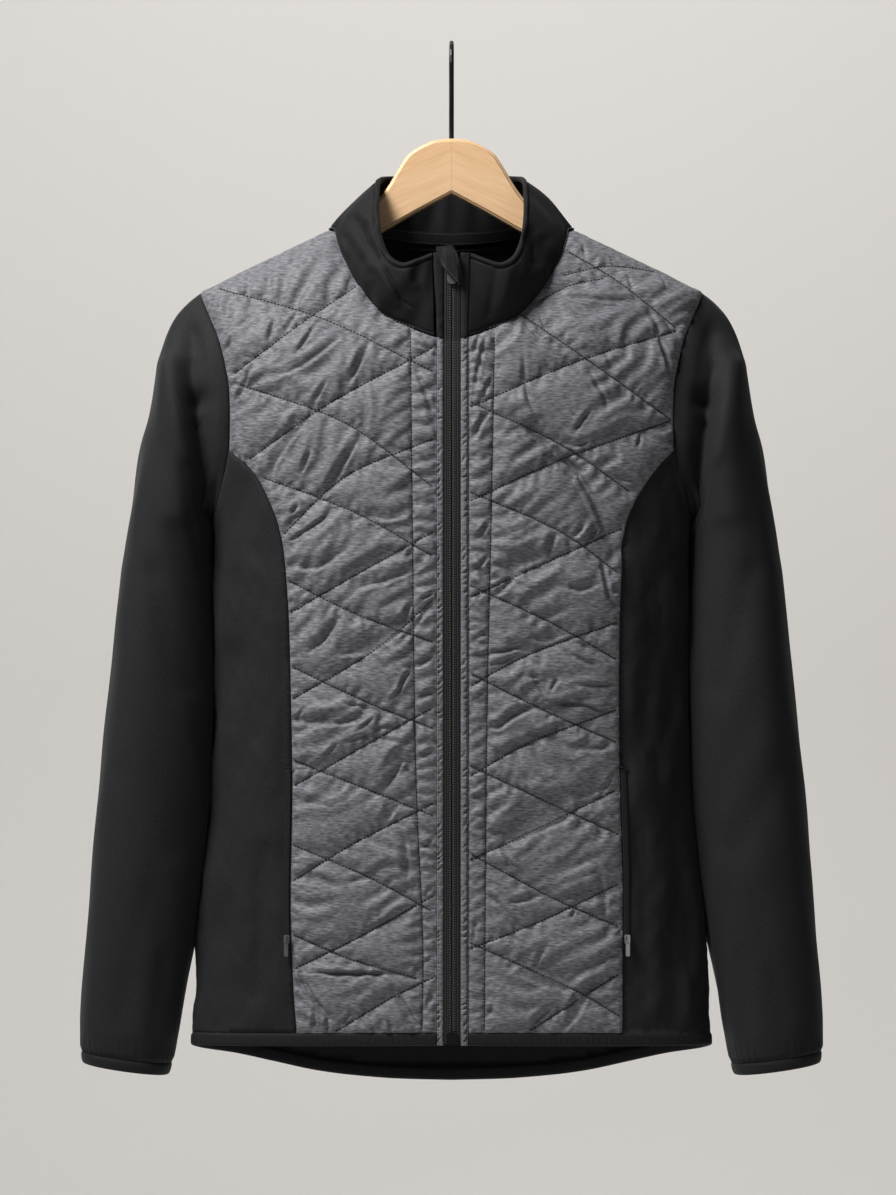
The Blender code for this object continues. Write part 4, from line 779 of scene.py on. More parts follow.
FRONT_STRIP_WALL = 2.4
TAPE_WALL = 1.6
NECK_TAPE_WALL = 1.2
NECK_TAPE_COLUMNS = 16
SLIDER_WIDTH, SLIDER_FOOT_Z = 8.0, -199.0
GARAGE_WALL = 1.5
GARAGE_EDGE_OUT, GARAGE_MIDDLE_OUT = 2.4, 5.9
POCKET_TOP_Z, POCKET_FOOT_Z = -587.0, -728.0
POCKET_TAPE_CLEAR, POCKET_TAPE_WIDTH, POCKET_TAPE_WALL = 0.6, 4.6, 1.2


def ridge_z(x):
    """The height of the shoulder's ridge at a distance from the middle."""
    z = np.linspace(ARMHOLE_TIP_Z, LEVELS[-1], 80)
    half = column(BODY_SECTIONS, "half_width", "z", z)
    return np.interp(x, half[::-1], z[::-1])


# ---------------------------------------------------------------- fine cloth: shared tools


def waves(x, z, seed, scale, terms=7):
    """A soft uneven field over a plane: sines in many directions about that long, spread about 0."""
    random = np.random.RandomState(seed)
    total = np.zeros_like(np.asarray(x, float))
    for _ in range(terms):
        angle, rate = random.uniform(0, 2 * math.pi), random.uniform(0.6, 1.6) * 2 * math.pi / scale
        total += np.sin((x * math.cos(angle) + z * math.sin(angle)) * rate + random.uniform(0, 2 * math.pi))
    return total / math.sqrt(terms / 2)


def smooth_step(value, low, high):
    """From 0 at low to 1 at high, level at both."""
    t = np.clip((value - low) / (high - low), 0, 1)
    return t * t * (3 - 2 * t)


def piece(name, points, faces, finish, uv=None):
    """One shown mesh, closed, its faces turned outwards. Points are in millimetres, faces are rows of vertex
    numbers of one length or a list of such arrays, and uv is one pair a vertex, in millimetres of cloth."""
    blocks = faces if isinstance(faces, list) else [faces]
    blocks = [np.asarray(block, np.int32) for block in blocks if len(block)]
    mesh = bpy.data.meshes.new(name)
    mesh.vertices.add(len(points))
    mesh.vertices.foreach_set("co", (np.asarray(points, float) * MM).ravel())
    loops = np.concatenate([block.ravel() for block in blocks])
    totals = np.concatenate([np.full(len(block), block.shape[1]) for block in blocks])
    mesh.loops.add(len(loops))
    mesh.loops.foreach_set("vertex_index", loops)
    mesh.polygons.add(len(totals))
    mesh.polygons.foreach_set("loop_start", np.concatenate([[0], np.cumsum(totals)[:-1]]))
    mesh.polygons.foreach_set("loop_total", totals)
    mesh.update(calc_edges=True)
    mesh.validate()
    mesh.shade_smooth()
    if uv is not None:
        layer = mesh.uv_layers.new(name="cloth")
        layer.data.foreach_set("uv", (np.asarray(uv, float)[loops] * MM).ravel())
    mesh.materials.append(finish)
    thing = bpy.data.objects.new(name, mesh)
    bpy.context.scene.collection.objects.link(thing)
    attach(thing, "jacket")
    return outward(thing)


def grid_faces(rows, across, closed=False, start=0, flip=False):
    """The quads of a grid of points laid row by row."""
    index = np.arange(rows * across).reshape(rows, across) + start
    if closed:
        index = np.concatenate([index, index[:, :1]], axis=1)
    quads = np.stack([index[:-1, :-1], index[1:, :-1], index[1:, 1:], index[:-1, 1:]], axis=-1).reshape(-1, 4)
    return quads[:, ::-1] if flip else quads


def shell(name, outer, inner, finish, uv, closed=False):
    """A closed wall between an outer and an inner grid of the same size."""
    rows, across = outer.shape[:2]
    shift = rows * across
    over = np.arange(shift).reshape(rows, across)
    faces = [grid_faces(rows, across, closed), grid_faces(rows, across, closed, shift, True)]
    edges = [over[0][::-1], over[-1]] + ([] if closed else [over[:, 0], over[:, -1][::-1]])
    for edge in edges:
        run = np.concatenate([edge, edge[:1]]) if closed else edge
        faces.append(np.stack([run[:-1], run[1:], run[1:] + shift, run[:-1] + shift], axis=1)[:, ::-1])
    points = np.concatenate([outer.reshape(-1, 3), inner.reshape(-1, 3)])
    both = np.concatenate([uv.reshape(-1, 2), uv.reshape(-1, 2)])
    return piece(name, points, np.concatenate(faces), finish, both)


def outward(thing):
    """Turns a closed mesh's faces outwards."""
    mesh = thing.data
    mesh.calc_loop_triangles()
    points = np.empty(len(mesh.vertices) * 3)
    mesh.vertices.foreach_get("co", points)
    points = points.reshape(-1, 3)
    corners = np.empty(len(mesh.loop_triangles) * 3, np.int32)
    mesh.loop_triangles.foreach_get("vertices", corners)
    a, b, c = points[corners.reshape(-1, 3)].transpose(1, 0, 2)
    if np.sum(a * np.cross(b, c)) < 0:
        mesh.flip_normals()
    return thing


def cloth_wall(name, outer, inner, faces, back_faces, ring, edge, finish, uv):
    """A panel from its outer and its inner layer, each with its own triangles, and the rim between them. The
    rim's points are ring on the outer layer and edge on the inner one."""
    rim = np.stack([np.roll(ring, -1), ring, edge, np.roll(edge, -1)], axis=1)
    blocks = [np.concatenate([faces, back_faces[:, ::-1] + len(outer)]), rim]
    return piece(name, np.concatenate([outer, inner]), blocks, finish, uv)


# ---------------------------------------------------------------- the quilted fronts

QUILT_PITCH = 5.2
LINING_PITCH = 14.0
# Steps of relaxing and stiffness against bending, on the coarse mesh and on the finer one.
QUILT_STEPS = ((320, 170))
QUILT_BEND = (0.5, 1.2)
# How much larger the cloth is than its cut: all over, across its creases, along its stitches, beside the zip.
QUILT_BASE_GROWTH, QUILT_GROWTH, QUILT_STITCH_GROWTH, QUILT_ZIP_GROWTH = 0.009, 0.055, 0.08, 0.05
# How strongly the padding holds its height, how far a step goes, what speed it keeps, and the lowest height.
QUILT_HOLD, QUILT_STEP, QUILT_KEEP, QUILT_FLOOR = 0.0012, 1.6, 0.9, -0.3


def puffed(points, away):
    """How high the padding stands at each point: nothing on a stitch line, full between the lines."""
    uneven = 1 + 0.14 * np.sin(points[:, 0] / 19 + points[:, 1] / 31) * np.sin(points[:, 1] / 17 - 1)
    return PUFF_HEIGHT * uneven * (1 - np.exp(-((away / PUFF_REACH) ** 1.08)))


def crumple_direction(x, z, side):
    """The direction that the creases run, in radians from level, at each place of one front."""
    if side < 0:
        angle = np.interp(z, [-800, -560, -420, -300], [12, 20, 46, 56])
    else:
        angle = np.interp(z, [-800, -600, -450, -300], [12, 14, 22, 30])
    angle = np.radians(angle) * np.clip((x - 20) / 40, 0, 1) + 0.35 * waves(x, z, 31 + side, 110)
    return -angle if side < 0 else angle


def stretched(run, angle, growth):
    """The squared length that is added to runs of cloth that grow by that share across a direction."""
    along = -run[:, 0] * np.sin(angle) + run[:, 1] * np.cos(angle)
    return along**2 * ((1 + growth) ** 2 - 1)


def face_edges(faces):
    """Each triangle's three edges, the lower number first, and the corner across from each."""
    ends = np.sort(np.concatenate([faces[:, [0, 1]], faces[:, [1, 2]], faces[:, [2, 0]]]), axis=1)
    return ends, np.concatenate([faces[:, 2], faces[:, 0], faces[:, 1]])


def edge_pairs(faces):
    """The mesh's edges, and the pairs of corners that face each other across an edge."""
    ends, across = face_edges(faces)
    order = np.lexsort((ends[:, 1], ends[:, 0]))
    ends, across = ends[order], across[order]
    first = np.concatenate([[True], (ends[1:] != ends[:-1]).any(axis=1)])
    second = np.flatnonzero(~first)
    return ends[first], np.stack([across[second - 1], across[second]], axis=1)


def relaxed(flat, faces, height, target, away, ways, side, steps, bend):
    """The cloth over its flat cut, relaxed: it is a little larger than the cut across its creases and along
    its stitches, so it buckles between them. Returns its points as (s, z, height)."""
    edges, hinges = edge_pairs(faces)
    pairs = np.concatenate([edges, hinges])
    stiff = np.concatenate([np.ones(len(edges)), np.full(len(hinges), bend)])
    a, b = pairs.T
    run = flat[b] - flat[a]
    x, z = (flat[a] + flat[b]).T / 2
    patch = np.clip(0.5 + 0.75 * waves(x, z, 11 + side, 75), 0, 1.6) ** 1.4
    growth = QUILT_GROWTH * (0.25 + 0.9 * patch) + QUILT_ZIP_GROWTH * bell(x - 20, 14)
    square = (run**2).sum(axis=1) * (1 + QUILT_BASE_GROWTH) ** 2
    square += stretched(run, crumple_direction(x, z, side), growth)
    near = bell((away[a] + away[b]) / 2 - 2.0, 4.0)
    puckers = QUILT_STITCH_GROWTH * near * np.clip(0.6 + 0.7 * waves(x, z, 61 + side, 60), 0, 1.5)
    square += ((run * (ways[a] + ways[b]) / 2).sum(axis=1)) ** 2 * ((1 + puckers) ** 2 - 1)
    rest = np.sqrt(square)
    count, pinned = len(flat), away < 0.05
    free = np.where(pinned, 0.0, 1.0)
    points = np.column_stack([flat, np.where(pinned, 0, height)])
    speed = np.zeros_like(points)
    share = np.maximum(free[a] + free[b], 1e-9)
    met = np.bincount(a, stiff, count) + np.bincount(b, stiff, count)
    for _ in range(steps):
        gap = points[b] - points[a]
        length = np.sqrt((gap**2).sum(axis=1))
        pull = (stiff * (length - rest) / np.maximum(length, 1e-6) / share)[:, None] * gap
        push = np.stack([np.bincount(a, part * free[a], count) - np.bincount(b, part * free[b], count)
                         for part in pull.T], axis=1) / met[:, None] * QUILT_STEP
        push[:, 2] += QUILT_HOLD * (target - points[:, 2]) * free
        speed = QUILT_KEEP * speed + push
        speed[pinned] = 0
        points += speed
        points[:, 2] = np.maximum(points[:, 2], QUILT_FLOOR)
    return points


def halved(flat, points, faces, ring):
    """Each triangle cut into four, its new corners on a smooth curve, and the ring of edge points too."""
    count = len(points)
    ends, across = face_edges(faces)
    edges, back = np.unique(ends, axis=0, return_inverse=True)
    back = back.reshape(-1)
    far = np.stack([np.bincount(back, points[across, k], len(edges)) for k in range(3)], axis=1)
    met = np.bincount(back, minlength=len(edges))
    middle = (points[edges[:, 0]] + points[edges[:, 1]]) / 2
    stitched = (points[edges, 2] == 0).all(axis=1)
    new = np.where(((met == 2) & ~stitched)[:, None], 0.75 * middle + 0.125 * far, middle)
    total = np.bincount(edges.T.ravel(), minlength=count)
    near = np.stack([np.bincount(edges[:, 0], points[edges[:, 1], k], count)
                     + np.bincount(edges[:, 1], points[edges[:, 0], k], count) for k in range(3)], axis=1)
    eased = points * 0.625 + 0.375 * near / total[:, None]
    fixed = points[:, 2] == 0
    fixed[ring] = True
    points = np.where(fixed[:, None], points, eased)
    a, b, c = faces.T
    ab, bc, ca = back.reshape(3, -1) + count
    parts = ((a, ab, ca), (ab, b, bc), (ca, bc, c), (ab, bc, ca))
    smaller = np.concatenate([np.stack(corners, axis=1) for corners in parts])
    number = {(int(i), int(j)): k + count for k, (i, j) in enumerate(edges)}
    longer = [k for i, j in zip(ring.tolist(), np.roll(ring, -1).tolist())
              for k in (i, number[(min(i, j), max(i, j))])]
    flat = np.concatenate([flat, (flat[edges[:, 0]] + flat[edges[:, 1]]) / 2])
    return flat, np.concatenate([points, new]), smaller, np.array(longer)


# The main creases, placed one by one: depth, width, then x and z of points along it, seen from the front.
CREASES_RIGHT = (
    (2.5, 12.8, -82.8, -451, -73.2, -441.4, -53.2, -436.6, -31.6, -428.6, -18.8, -421.4),
    (1.8, 11.2, -133.1, -423.8, -106.7, -426.2, -79.6, -408.6),
    (1.3, 11.2, -73.2, -383.8, -49.2, -387, -31.6, -382.2),
    (1.8, 8, -117.1, -495.8, -101.1, -483, -85.2, -460.6),
    (3, 20.8, -93.1, -495, -65.2, -492.6, -41.2, -476.6, -29.2, -467),
    (2, 4.8, -44.4, -476.6, -34.8, -460.6, -30, -451),
    (2.2, 4, -41.2, -487, -11.6, -449.4),
    (1.8, 4.8, -42.8, -505.4, -25.2, -503, -11.6, -492.6),
    (1.8, 3.2, -50, -531.8, -41.2, -523, -36.4, -511.8, -29.2, -503),
    (2, 12.8, -121.1, -548.5, -89.2, -550.1, -65.2, -543.7),
    (1.5, 2.4, -126.7, -548.5, -117.1, -537.4),
    (1.6, 3.2, -89.2, -532.6, -57.2, -539, -41.2, -540.5),
    (1.5, 2.4, -74.8, -554.9, -60.4, -543.7),
    (1.3, 3.2, -66.8, -554.9, -41.2, -551.7, -29.2, -548.5),
    (1.3, 4, -89.2, -566.9, -68.4, -559.7, -41.2, -564.5, -31.6, -565.3),
    (1.3, 3.2, -101.1, -576.5, -89.2, -564.5),
    (1.8, 2.4, -134.7, -407, -121.1, -399, -101.1, -385.4, -95.5, -379),
    (1.5, 3.2, -135.5, -396.6, -126.7, -387, -113.1, -379),
    (1.4, 3.2, -127.5, -383, -121.9, -373.4),
    (2, 4, -34.8, -419, -30, -407.8),
    (1.6, 4, -25.2, -451, -12.4, -444.6),
    (1.6, 4, -26.8, -462.2, -12.4, -453.4),
    (2, 7.2, -139.5, -273.5, -118.7, -263.9, -106.7, -255.9, -85.2, -239.9),
    (1.7, 2.4, -123.5, -254.3, -106.7, -230.3),
    (2.2, 6.4, -82.8, -281.5, -73.2, -263.1, -65.2, -246.3),
    (1.3, 4, -111.5, -296.7, -97.1, -273.5),
    (1.5, 3.2, -180.3, -251.9, -174.7, -239.9),
    (2, 4, -173.9, -296.7, -163.5, -275.1, -157.1, -256.7),
    (2.6, 11.2, -145.9, -359.8, -140.3, -340.7, -129.1, -323.1, -112.3, -303.9),
    (2.2, 7.2, -101.9, -372.6, -87.6, -346.3, -72.4, -320.7),
    (1.4, 4, -121.1, -353.5, -110.7, -329.5),
    (1.3, 3.2, -30.8, -243.1, -14, -259.1),
    (1.3, 4, -30.8, -261.5, -21.2, -283.1, -13.2, -308.7),
    (1.1, 2.4, -47.6, -325.5, -37.2, -337.5, -29.2, -354.3),
    (1.3, 3.2, -146.7, -244.7, -140.3, -225.5),
    (1.3, 3.2, -134.7, -239.1, -122.7, -220.7),
    (1, 4, -169.1, -235.1, -157.9, -220.7),
    (2.2, 14.4, -53.2, -602.9, -45.2, -590.9, -38.8, -580.5, -25.2, -580.5),
    (1.8, 9.6, -52.4, -630.1, -44.4, -617.3, -38.8, -610.9),
    (1.5, 8, -37.2, -638.9, -34.8, -658.9, -34.8, -678.1),
    (1.2, 6.4, -85.2, -678.1, -63.6, -673.3),
    (1.6, 4, -73.2, -720.4, -53.2, -708.5, -39.6, -698.1),
    (3, 4, -116.3, -749.2, -89.2, -750.8, -53.2, -750.8, -30.8, -752.4),
    (1.5, 4, -33.2, -754.8, -23.6, -742.8, -12.4, -734.8),
    (2.4, 4, -125.9, -738.8, -117.1, -758.8, -106.7, -774.8, -97.1, -786.8, -90.7, -792.4),
    (1.8, 3.2, -127.5, -750.8, -121.1, -762.8, -111.5, -775.6),
    (1.8, 3.2, -99.5, -798, -98.7, -783.6),
    (1.6, 3.2, -110.7, -797.2, -109.1, -780.4),
    (2.4, 6.4, -47.6, -757.2, -41.2, -769.2, -33.2, -782.8, -25.2, -794.8),
    (1.6, 3.2, -51.6, -785.2, -46, -798),
    (1.2, 2.4, -90.7, -791.6, -79.6, -782),
    (1.6, 4.8, -21.2, -780.4, -16.4, -770.8, -11.6, -758.8),
    (1.2, 9.6, -121.1, -674.9, -103.5, -678.1, -85.2, -684.5),
    (1.2, 8, -121.1, -612.5, -97.1, -615.7),
    (1.3, 4.8, -26.8, -531, -12.4, -523),
    (1.3, 4.8, -26.8, -578.9, -12.4, -569.3),
    (1.2, 4, -25.2, -650.9, -12.4, -641.3),
    (1.2, 4, -25.2, -690.9, -12.4, -678.1),
)

CREASES_LEFT = (
    (1.2, 4.8, 74.8, -210.3, 86.8, -209.5, 118.7, -212.7, 150.7, -211.1),
    (1.5, 4.8, 155.5, -213.5, 165.1, -231.1, 168.3, -247.1, 176.3, -275.1),
    (1.4, 3.2, 158.7, -209.5, 170.7, -225.5, 179.5, -239.1),
    (1, 4, 120.3, -247.1, 125.1, -259.1, 134.7, -273.5),
    (1, 4, 108.3, -265.5, 114.7, -276.7, 122.7, -291.1, 122.7, -302.3),
    (1.7, 4, 97.1, -318.3, 104.3, -307.1, 111.5, -298.3),
    (1.6, 7.2, 85.2, -324.7, 98.7, -328.7, 112.3, -323.9),
    (1.2, 4, 57.2, -251.1, 58, -271.1, 61.2, -291.1, 70.8, -311.1),
    (1.6, 3.2, 17.2, -291.1, 21.2, -267.1, 26, -247.1, 29.2, -236.7),
    (1.4, 3.2, 14.8, -259.1, 19.6, -247.1, 24.4, -236.7),
    (1.5, 3.2, 22.8, -295.1, 29.2, -279.1, 38, -265.5),
    (2.4, 5.6, 16.4, -324.7, 22.8, -311.1, 32.4, -298.3),
    (1.3, 3.2, 54.8, -228.7, 66.8, -239.1, 85.2, -251.1),
    (1.2, 3.2, 68.4, -219.1, 74.8, -235.1, 90.7, -251.1),
    (1.9, 4.8, 53.2, -307.9, 66.8, -320.7, 85.2, -335.1),
    (2.8, 5.6, 74.8, -323.1, 88.4, -336.7, 102.7, -351.1, 112.3, -367, 122.7, -391, 129.9, -409.4),
    (1.4, 3.2, 70.8, -349.5, 75.6, -335.1),
    (1.2, 2.4, 105.1, -163.2, 109.1, -177.6),
    (1.2, 2.4, 126.7, -171.2, 132.3, -185.5),
    (1.2, 2.4, 141.1, -191.1, 145.9, -200.7),
    (1.2, 2.4, 166.7, -187.1, 173.1, -201.5),
    (1.3, 3.2, 167.5, -243.1, 173.1, -268.7),
    (1.6, 3.2, 147.5, -329.5, 151.5, -315.9),
    (1.4, 5.6, 133.1, -353.5, 152.3, -359.8),
    (3, 22.4, 38.8, -433.4, 56.4, -423, 77.2, -415.8),
    (2.9, 6.4, 30, -451.8, 42.8, -441.4, 53.2, -427.8),
    (1.6, 8, 76.4, -416.6, 80.4, -407, 84.4, -395.8),
    (1.8, 4.8, 95.5, -403.8, 102.7, -395, 106.7, -389.4),
    (1.8, 7.2, 105.9, -407.8, 112.3, -399, 119.5, -390.2),
    (1.7, 9.6, 83.6, -439, 102.7, -443.8, 121.1, -436.6),
    (1.7, 4, 120.3, -415.8, 121.9, -431, 125.1, -449.4, 132.3, -455.8),
    (2, 12.8, 59.6, -479.8, 74.8, -484.6, 93.1, -477.4),
    (1.6, 11.2, 38.8, -492.6, 50.8, -489.4, 64.4, -493.4),
    (1.6, 3.2, 14.8, -495.8, 30.8, -493.4, 46.8, -491, 58, -486.2),
    (1.3, 3.2, 21.2, -505.4, 38.8, -500.6, 54.8, -495),
    (1.6, 4, 94.7, -483, 110.7, -489.4, 126.7, -495),
    (1.4, 4, 86.8, -487, 96.3, -495, 106.7, -500.6, 120.3, -503),
    (1.4, 3.2, 78, -524.6, 84.4, -513.4),
    (1.2, 2.4, 60.4, -505.4, 70.8, -521.4, 77.2, -531),
    (2.7, 8, 14.8, -554.9, 38.8, -552.5, 48.4, -544.5, 66.8, -536.6, 75.6, -531.8),
    (1.9, 6.4, 59.6, -562.1, 74.8, -558.1, 89.2, -550.1),
    (2, 3.2, 70.8, -531, 86.8, -532.6, 106.7, -535.8, 118.7, -539, 131.5, -540.5),
    (1.6, 8, 99.5, -569.3, 118.7, -570.9, 132.3, -566.1),
    (1.7, 8, 34.8, -577.3, 54.8, -568.5, 74.8, -561.3),
    (1.8, 4, 18, -404.6, 24.4, -397.4, 32.4, -386.2),
    (1.8, 4, 16.4, -428.6, 32.4, -415),
    (1.3, 3.2, 19.6, -451, 27.6, -443),
    (1.4, 6.4, 58, -513.4, 72.4, -511.8),
    (1.3, 4, 97.1, -518.2, 118.7, -519.8, 131.5, -517.4),
    (3.2, 36.8, 38.8, -647.7, 58.8, -639.7, 86.8, -628.5, 102.7, -620.5),
    (2, 22.4, 96.3, -611.7, 110.7, -606.9, 128.3, -598.9),
    (1.6, 4, 117.9, -612.5, 123.5, -600.5, 129.1, -590.9),
    (1.5, 2.4, 38.8, -648.5, 45.2, -658.9, 55.6, -669.3),
    (1.5, 3.2, 94.7, -706.1, 98.7, -699.7, 105.1, -694.1),
    (1.2, 4, 22.8, -681.3, 38.8, -694.9, 51.6, -710.9),
    (1.6, 3.2, 14, -742.8, 17.2, -722.8, 20.4, -702.9),
    (1.2, 4.8, 66, -748.4, 70.8, -736.4, 77.2, -726),
    (2.8, 11.2, 86.8, -799.6, 98.7, -786.8, 105.1, -774.8, 112.3, -762.8, 126.7, -751.6),
    (1.8, 6.4, 60.4, -799.6, 69.2, -786.8, 81.2, -778),
    (1.2, 3.2, 26, -790.8, 30.8, -780.4, 34, -774),
    (2.6, 33.6, 54.8, -750.8, 74.8, -759.6, 98.7, -765.2),
    (1.3, 8, 118.7, -666.9, 122.7, -690.9, 123.5, -718.9),
    (1.3, 4, 14.8, -483, 32.4, -476.6),
    (1.2, 4, 14.8, -531, 30.8, -523),
    (1.2, 4.8, 14.8, -610.9, 30.8, -604.5),
    (1.2, 4.8, 14.8, -660.5, 30.8, -653.3),
    (1.4, 6.4, 42.8, -694.9, 62.8, -690.9, 78.8, -685.3),
)
# How far beyond a crease its lip lies, how far behind it the cloth comes back, how much of its depth shows,
# and how far from it the cloth still moves.
CREASE_LIP, CREASE_STEEP, CREASE_SHARE, CREASE_REACH = 2.6, 1.3, 2.2, 9
# Where the light comes from in (s, z) on the wearer's left, as the creases slope.
LIGHT_WAY = (-0.6, 0.8)
# How deep the cloth sinks on a stitch line and at the panel's edge.
STITCH_GROOVE, EDGE_DROP = 1.2, 1.5
# The padding thickens from the first to the second of these distances below the shoulder's ridge.
SHOULDER_FLAT = (2.0, 20.0)
# How softly the relief ends at the inner layer.
SOFT_FLOOR = 0.7


def creased(points, away, side):
    """How far the creases placed by hand move each point: the cloth slopes in over a crease's width on the
    side of the light and comes back steeply beyond it, with a small lip."""
    moved = np.zeros(len(points))
    for depth, width, *places in CREASES_RIGHT if side < 0 else CREASES_LEFT:
        line = np.array(places).reshape(-1, 2)
        line = np.stack([s_of_x(np.abs(line[:, 0]), line[:, 1]), line[:, 1]], axis=1)
        reach = width + CREASE_REACH
        near = np.flatnonzero(((points[:, :2] > line.min(axis=0) - reach)
                               & (points[:, :2] < line.max(axis=0) + reach)).all(axis=1))
        run = run_of(line)
        best = np.full(len(near), 1e9)
        off, share = np.zeros(len(near)), np.zeros(len(near))
        for k, (a, b) in enumerate(zip(line[:-1], line[1:])):
            way = unit(b - a)
            lit = np.array([-way[1], way[0]])
            lit = lit if lit @ (LIGHT_WAY[0] * side, LIGHT_WAY[1]) > 0 else -lit
            gap = points[near, :2] - a
            t = np.clip(gap @ way, 0, run[k + 1] - run[k])
            rest = gap - t[:, None] * way
            far = np.linalg.norm(rest, axis=1)
            nearer = far < best
            best[nearer] = far[nearer]
            off[nearer] = (far * np.where(rest @ lit >= 0, 1, -1))[nearer]
            share[nearer] = ((run[k] + t) / run[-1])[nearer]
        slope = np.clip(1 - off / width, 0, 1) ** 1.35
        back = np.exp(-((np.maximum(-off, 0) / CREASE_STEEP) ** 1.3))
        lip = 0.10 * bell(off + CREASE_LIP, 1.5) * min(1.0, width / 5)
        lip = lip + 0.30 * bell(off - width, 0.45 * width + 1)
        ends = np.clip(3.2 * share, 0.12, 1) * np.clip(3.2 * (1 - share), 0.12, 1)
        ends = ends * bell(np.maximum(best - width, 0), 4)
        push = CREASE_SHARE * depth * ends * (lip - np.where(off >= 0, slope, back))
        moved[near] += push * np.clip(away[near] / 3.5, 0.15, 1)
    return moved


def calm_shoulder(s, z):
    """The padding lies flat where the hanger stretches the cloth over the shoulder."""
    points = bare_surface(s, z)
    below = ridge_z(np.abs(points[:, 0])) - points[:, 2]
    return 0.12 + 0.88 * smooth_step(below, *SHOULDER_FLAT)


def hem_puckers(s, z, side):
    """Short slanting puckers where the hem's binding gathers the cloth."""
    up = z - hem_z(s * side) - HEM_BINDING_HEIGHT
    phase = 2 * math.pi * (s - 0.7 * up) / 8.5 + 2.2 * waves(s, up, 420 + side, 30)
    deep = np.clip(0.55 + 0.6 * waves(s, up, 430 + side, 24), 0, 1.2)
    return 1.5 * deep * (np.abs(np.sin(phase / 2)) ** 0.7 - 0.6) * bell(np.maximum(up - 1, 0), 6.5)


def make_front(side, name, finishes):
    """One quilted front. Returns its stitch lines."""
    outline = inset(front_outline(side), SEAM_GAP / 2)
    lines = [clipped(line, outline, 1.2) for line in quilt_lines(side)]
    lines = [spaced(line, QUILT_PITCH) for line in lines if line is not None]
    flat, faces, spot = triangulated(outline, lines, QUILT_PITCH)
    ring = np.array([spot[i] for i in range(len(outline))])
    starts, ends = segments([round_trip(outline)] + lines)
    points = None
    for steps, bend in zip(QUILT_STEPS, QUILT_BEND):
        away, ways = nearest_way(flat, starts, ends)
        target = 0.85 * puffed(flat, away)
        if points is None:
            seeds = 1.6 * waves(*flat.T, 51 + side, 46, 12) * np.clip(away / 6, 0, 1)
            points = np.column_stack([flat, target + seeds])
        moved = relaxed(flat, faces, points[:, 2], target, away, ways, side, steps, bend)
        flat, points, faces, ring = halved(flat, moved, faces, ring)
    away = distance_to(flat, starts, ends)
    groove = STITCH_GROOVE * bell(away, 1.0)
    groove[ring] = EDGE_DROP
    height = (points[:, 2] + creased(points, away, side)) * calm_shoulder(points[:, 0] * side, points[:, 1])
    height = height + hem_puckers(points[:, 0], points[:, 1], side) * np.clip(away / 3, 0, 1)
    lowest = -SHELL_WALL / 2 + 0.1
    height = lowest + SOFT_FLOOR * np.logaddexp(0, (height - groove - lowest) / SOFT_FLOOR)
    outer = surface(points[:, 0] * side, points[:, 1], SHELL_WALL / 2 + height)
    plain, back_faces, spot = triangulated(points[ring, :2], [], LINING_PITCH)
    inner = surface(plain[:, 0] * side, plain[:, 1], np.full(len(plain), -SHELL_WALL / 2))
    edge = np.array([spot[i] for i in range(len(ring))]) + len(points)
    made = cloth_wall(f"shell_{name}", outer, inner, faces, back_faces, ring, edge, finishes["quilted_shell"],
                      np.concatenate([flat, plain]) * (side, 1))
    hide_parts(f"front_quilted_{name}")
    return lines


# ---------------------------------------------------------------- the jersey panels

JERSEY_PITCH = 5.0
# How high the knit's small folds stand, and the puckers above the hem binding.
SIDE_SOFT, HEM_GATHERS = 1.1, 0.7
# Folds that only show: from (x, z) to (x, z), how wide, how deep, 0 front or 1 back, on the side panels.
PANEL_FOLDS = (
    # x0, z0, x1, z1, width, depth, behind
    (-170, -430, -158, -560, 7, -1.6, 0),
    (-142, -470, -140, -600, 6, 1.2, 0),
    (-176, -560, -168, -700, 7, 1.6, 0),
    (-150, -650, -158, -770, 6, -1.6, 0),
    (-138, -700, -136, -790, 5, 1.0, 0),
    (166, -430, 156, -560, 7, -1.6, 0),
    (146, -470, 144, -610, 6, 1.2, 0),
    (178, -560, 172, -690, 7, 1.5, 0),
    (152, -640, 156, -770, 6, -1.6, 0),
    (186, -700, 190, -790, 5, 1.2, 0),
    (-60, -260, -110, -330, 14, 2.2, 1),
    (64, -250, 120, -330, 14, 2.2, 1),
    (-40, -420, -70, -640, 12, 1.8, 1),
    (44, -440, 60, -700, 12, -2.0, 1),
    (0, -300, 8, -520, 12, 1.6, 1),
    (-150, -380, -90, -430, 9, -2.0, 1),
    (150, -380, 96, -440, 9, -2.0, 1),
    (-96, -640, -104, -820, 9, 1.6, 1),
    (100, -600, 108, -820, 9, 1.6, 1),
)


def panel_relief(outline, distance, seed):
    """A function from a jersey panel's points to its relief: small upright folds, calm beside a seam, and the
    puckers above the hem binding. distance makes the distance round from the front of the panel's own."""
    starts, ends = segments([round_trip(outline)])

    def height(points):
        along, z = points.T
        s, edge = distance(along, z), distance_to(points, starts, ends)
        small = 0.55 * waves(along, z * 0.28, seed, 26, 9) + 0.22 * waves(along, z * 0.5, seed + 3, 11, 9)
        made = (small * SIDE_SOFT + fold_height(bare_surface(s, z), PANEL_FOLDS)) * np.clip(edge / 10, 0, 1)
        above = bell(z - (hem_z(s) + HEM_BINDING_HEIGHT), 12)
        phase = along / 1.7 + 1.5 * waves(along, z, seed + 9, 40)
        return made + HEM_GATHERS * above * np.sin(phase) * np.clip(edge / 2, 0, 1)

    return height


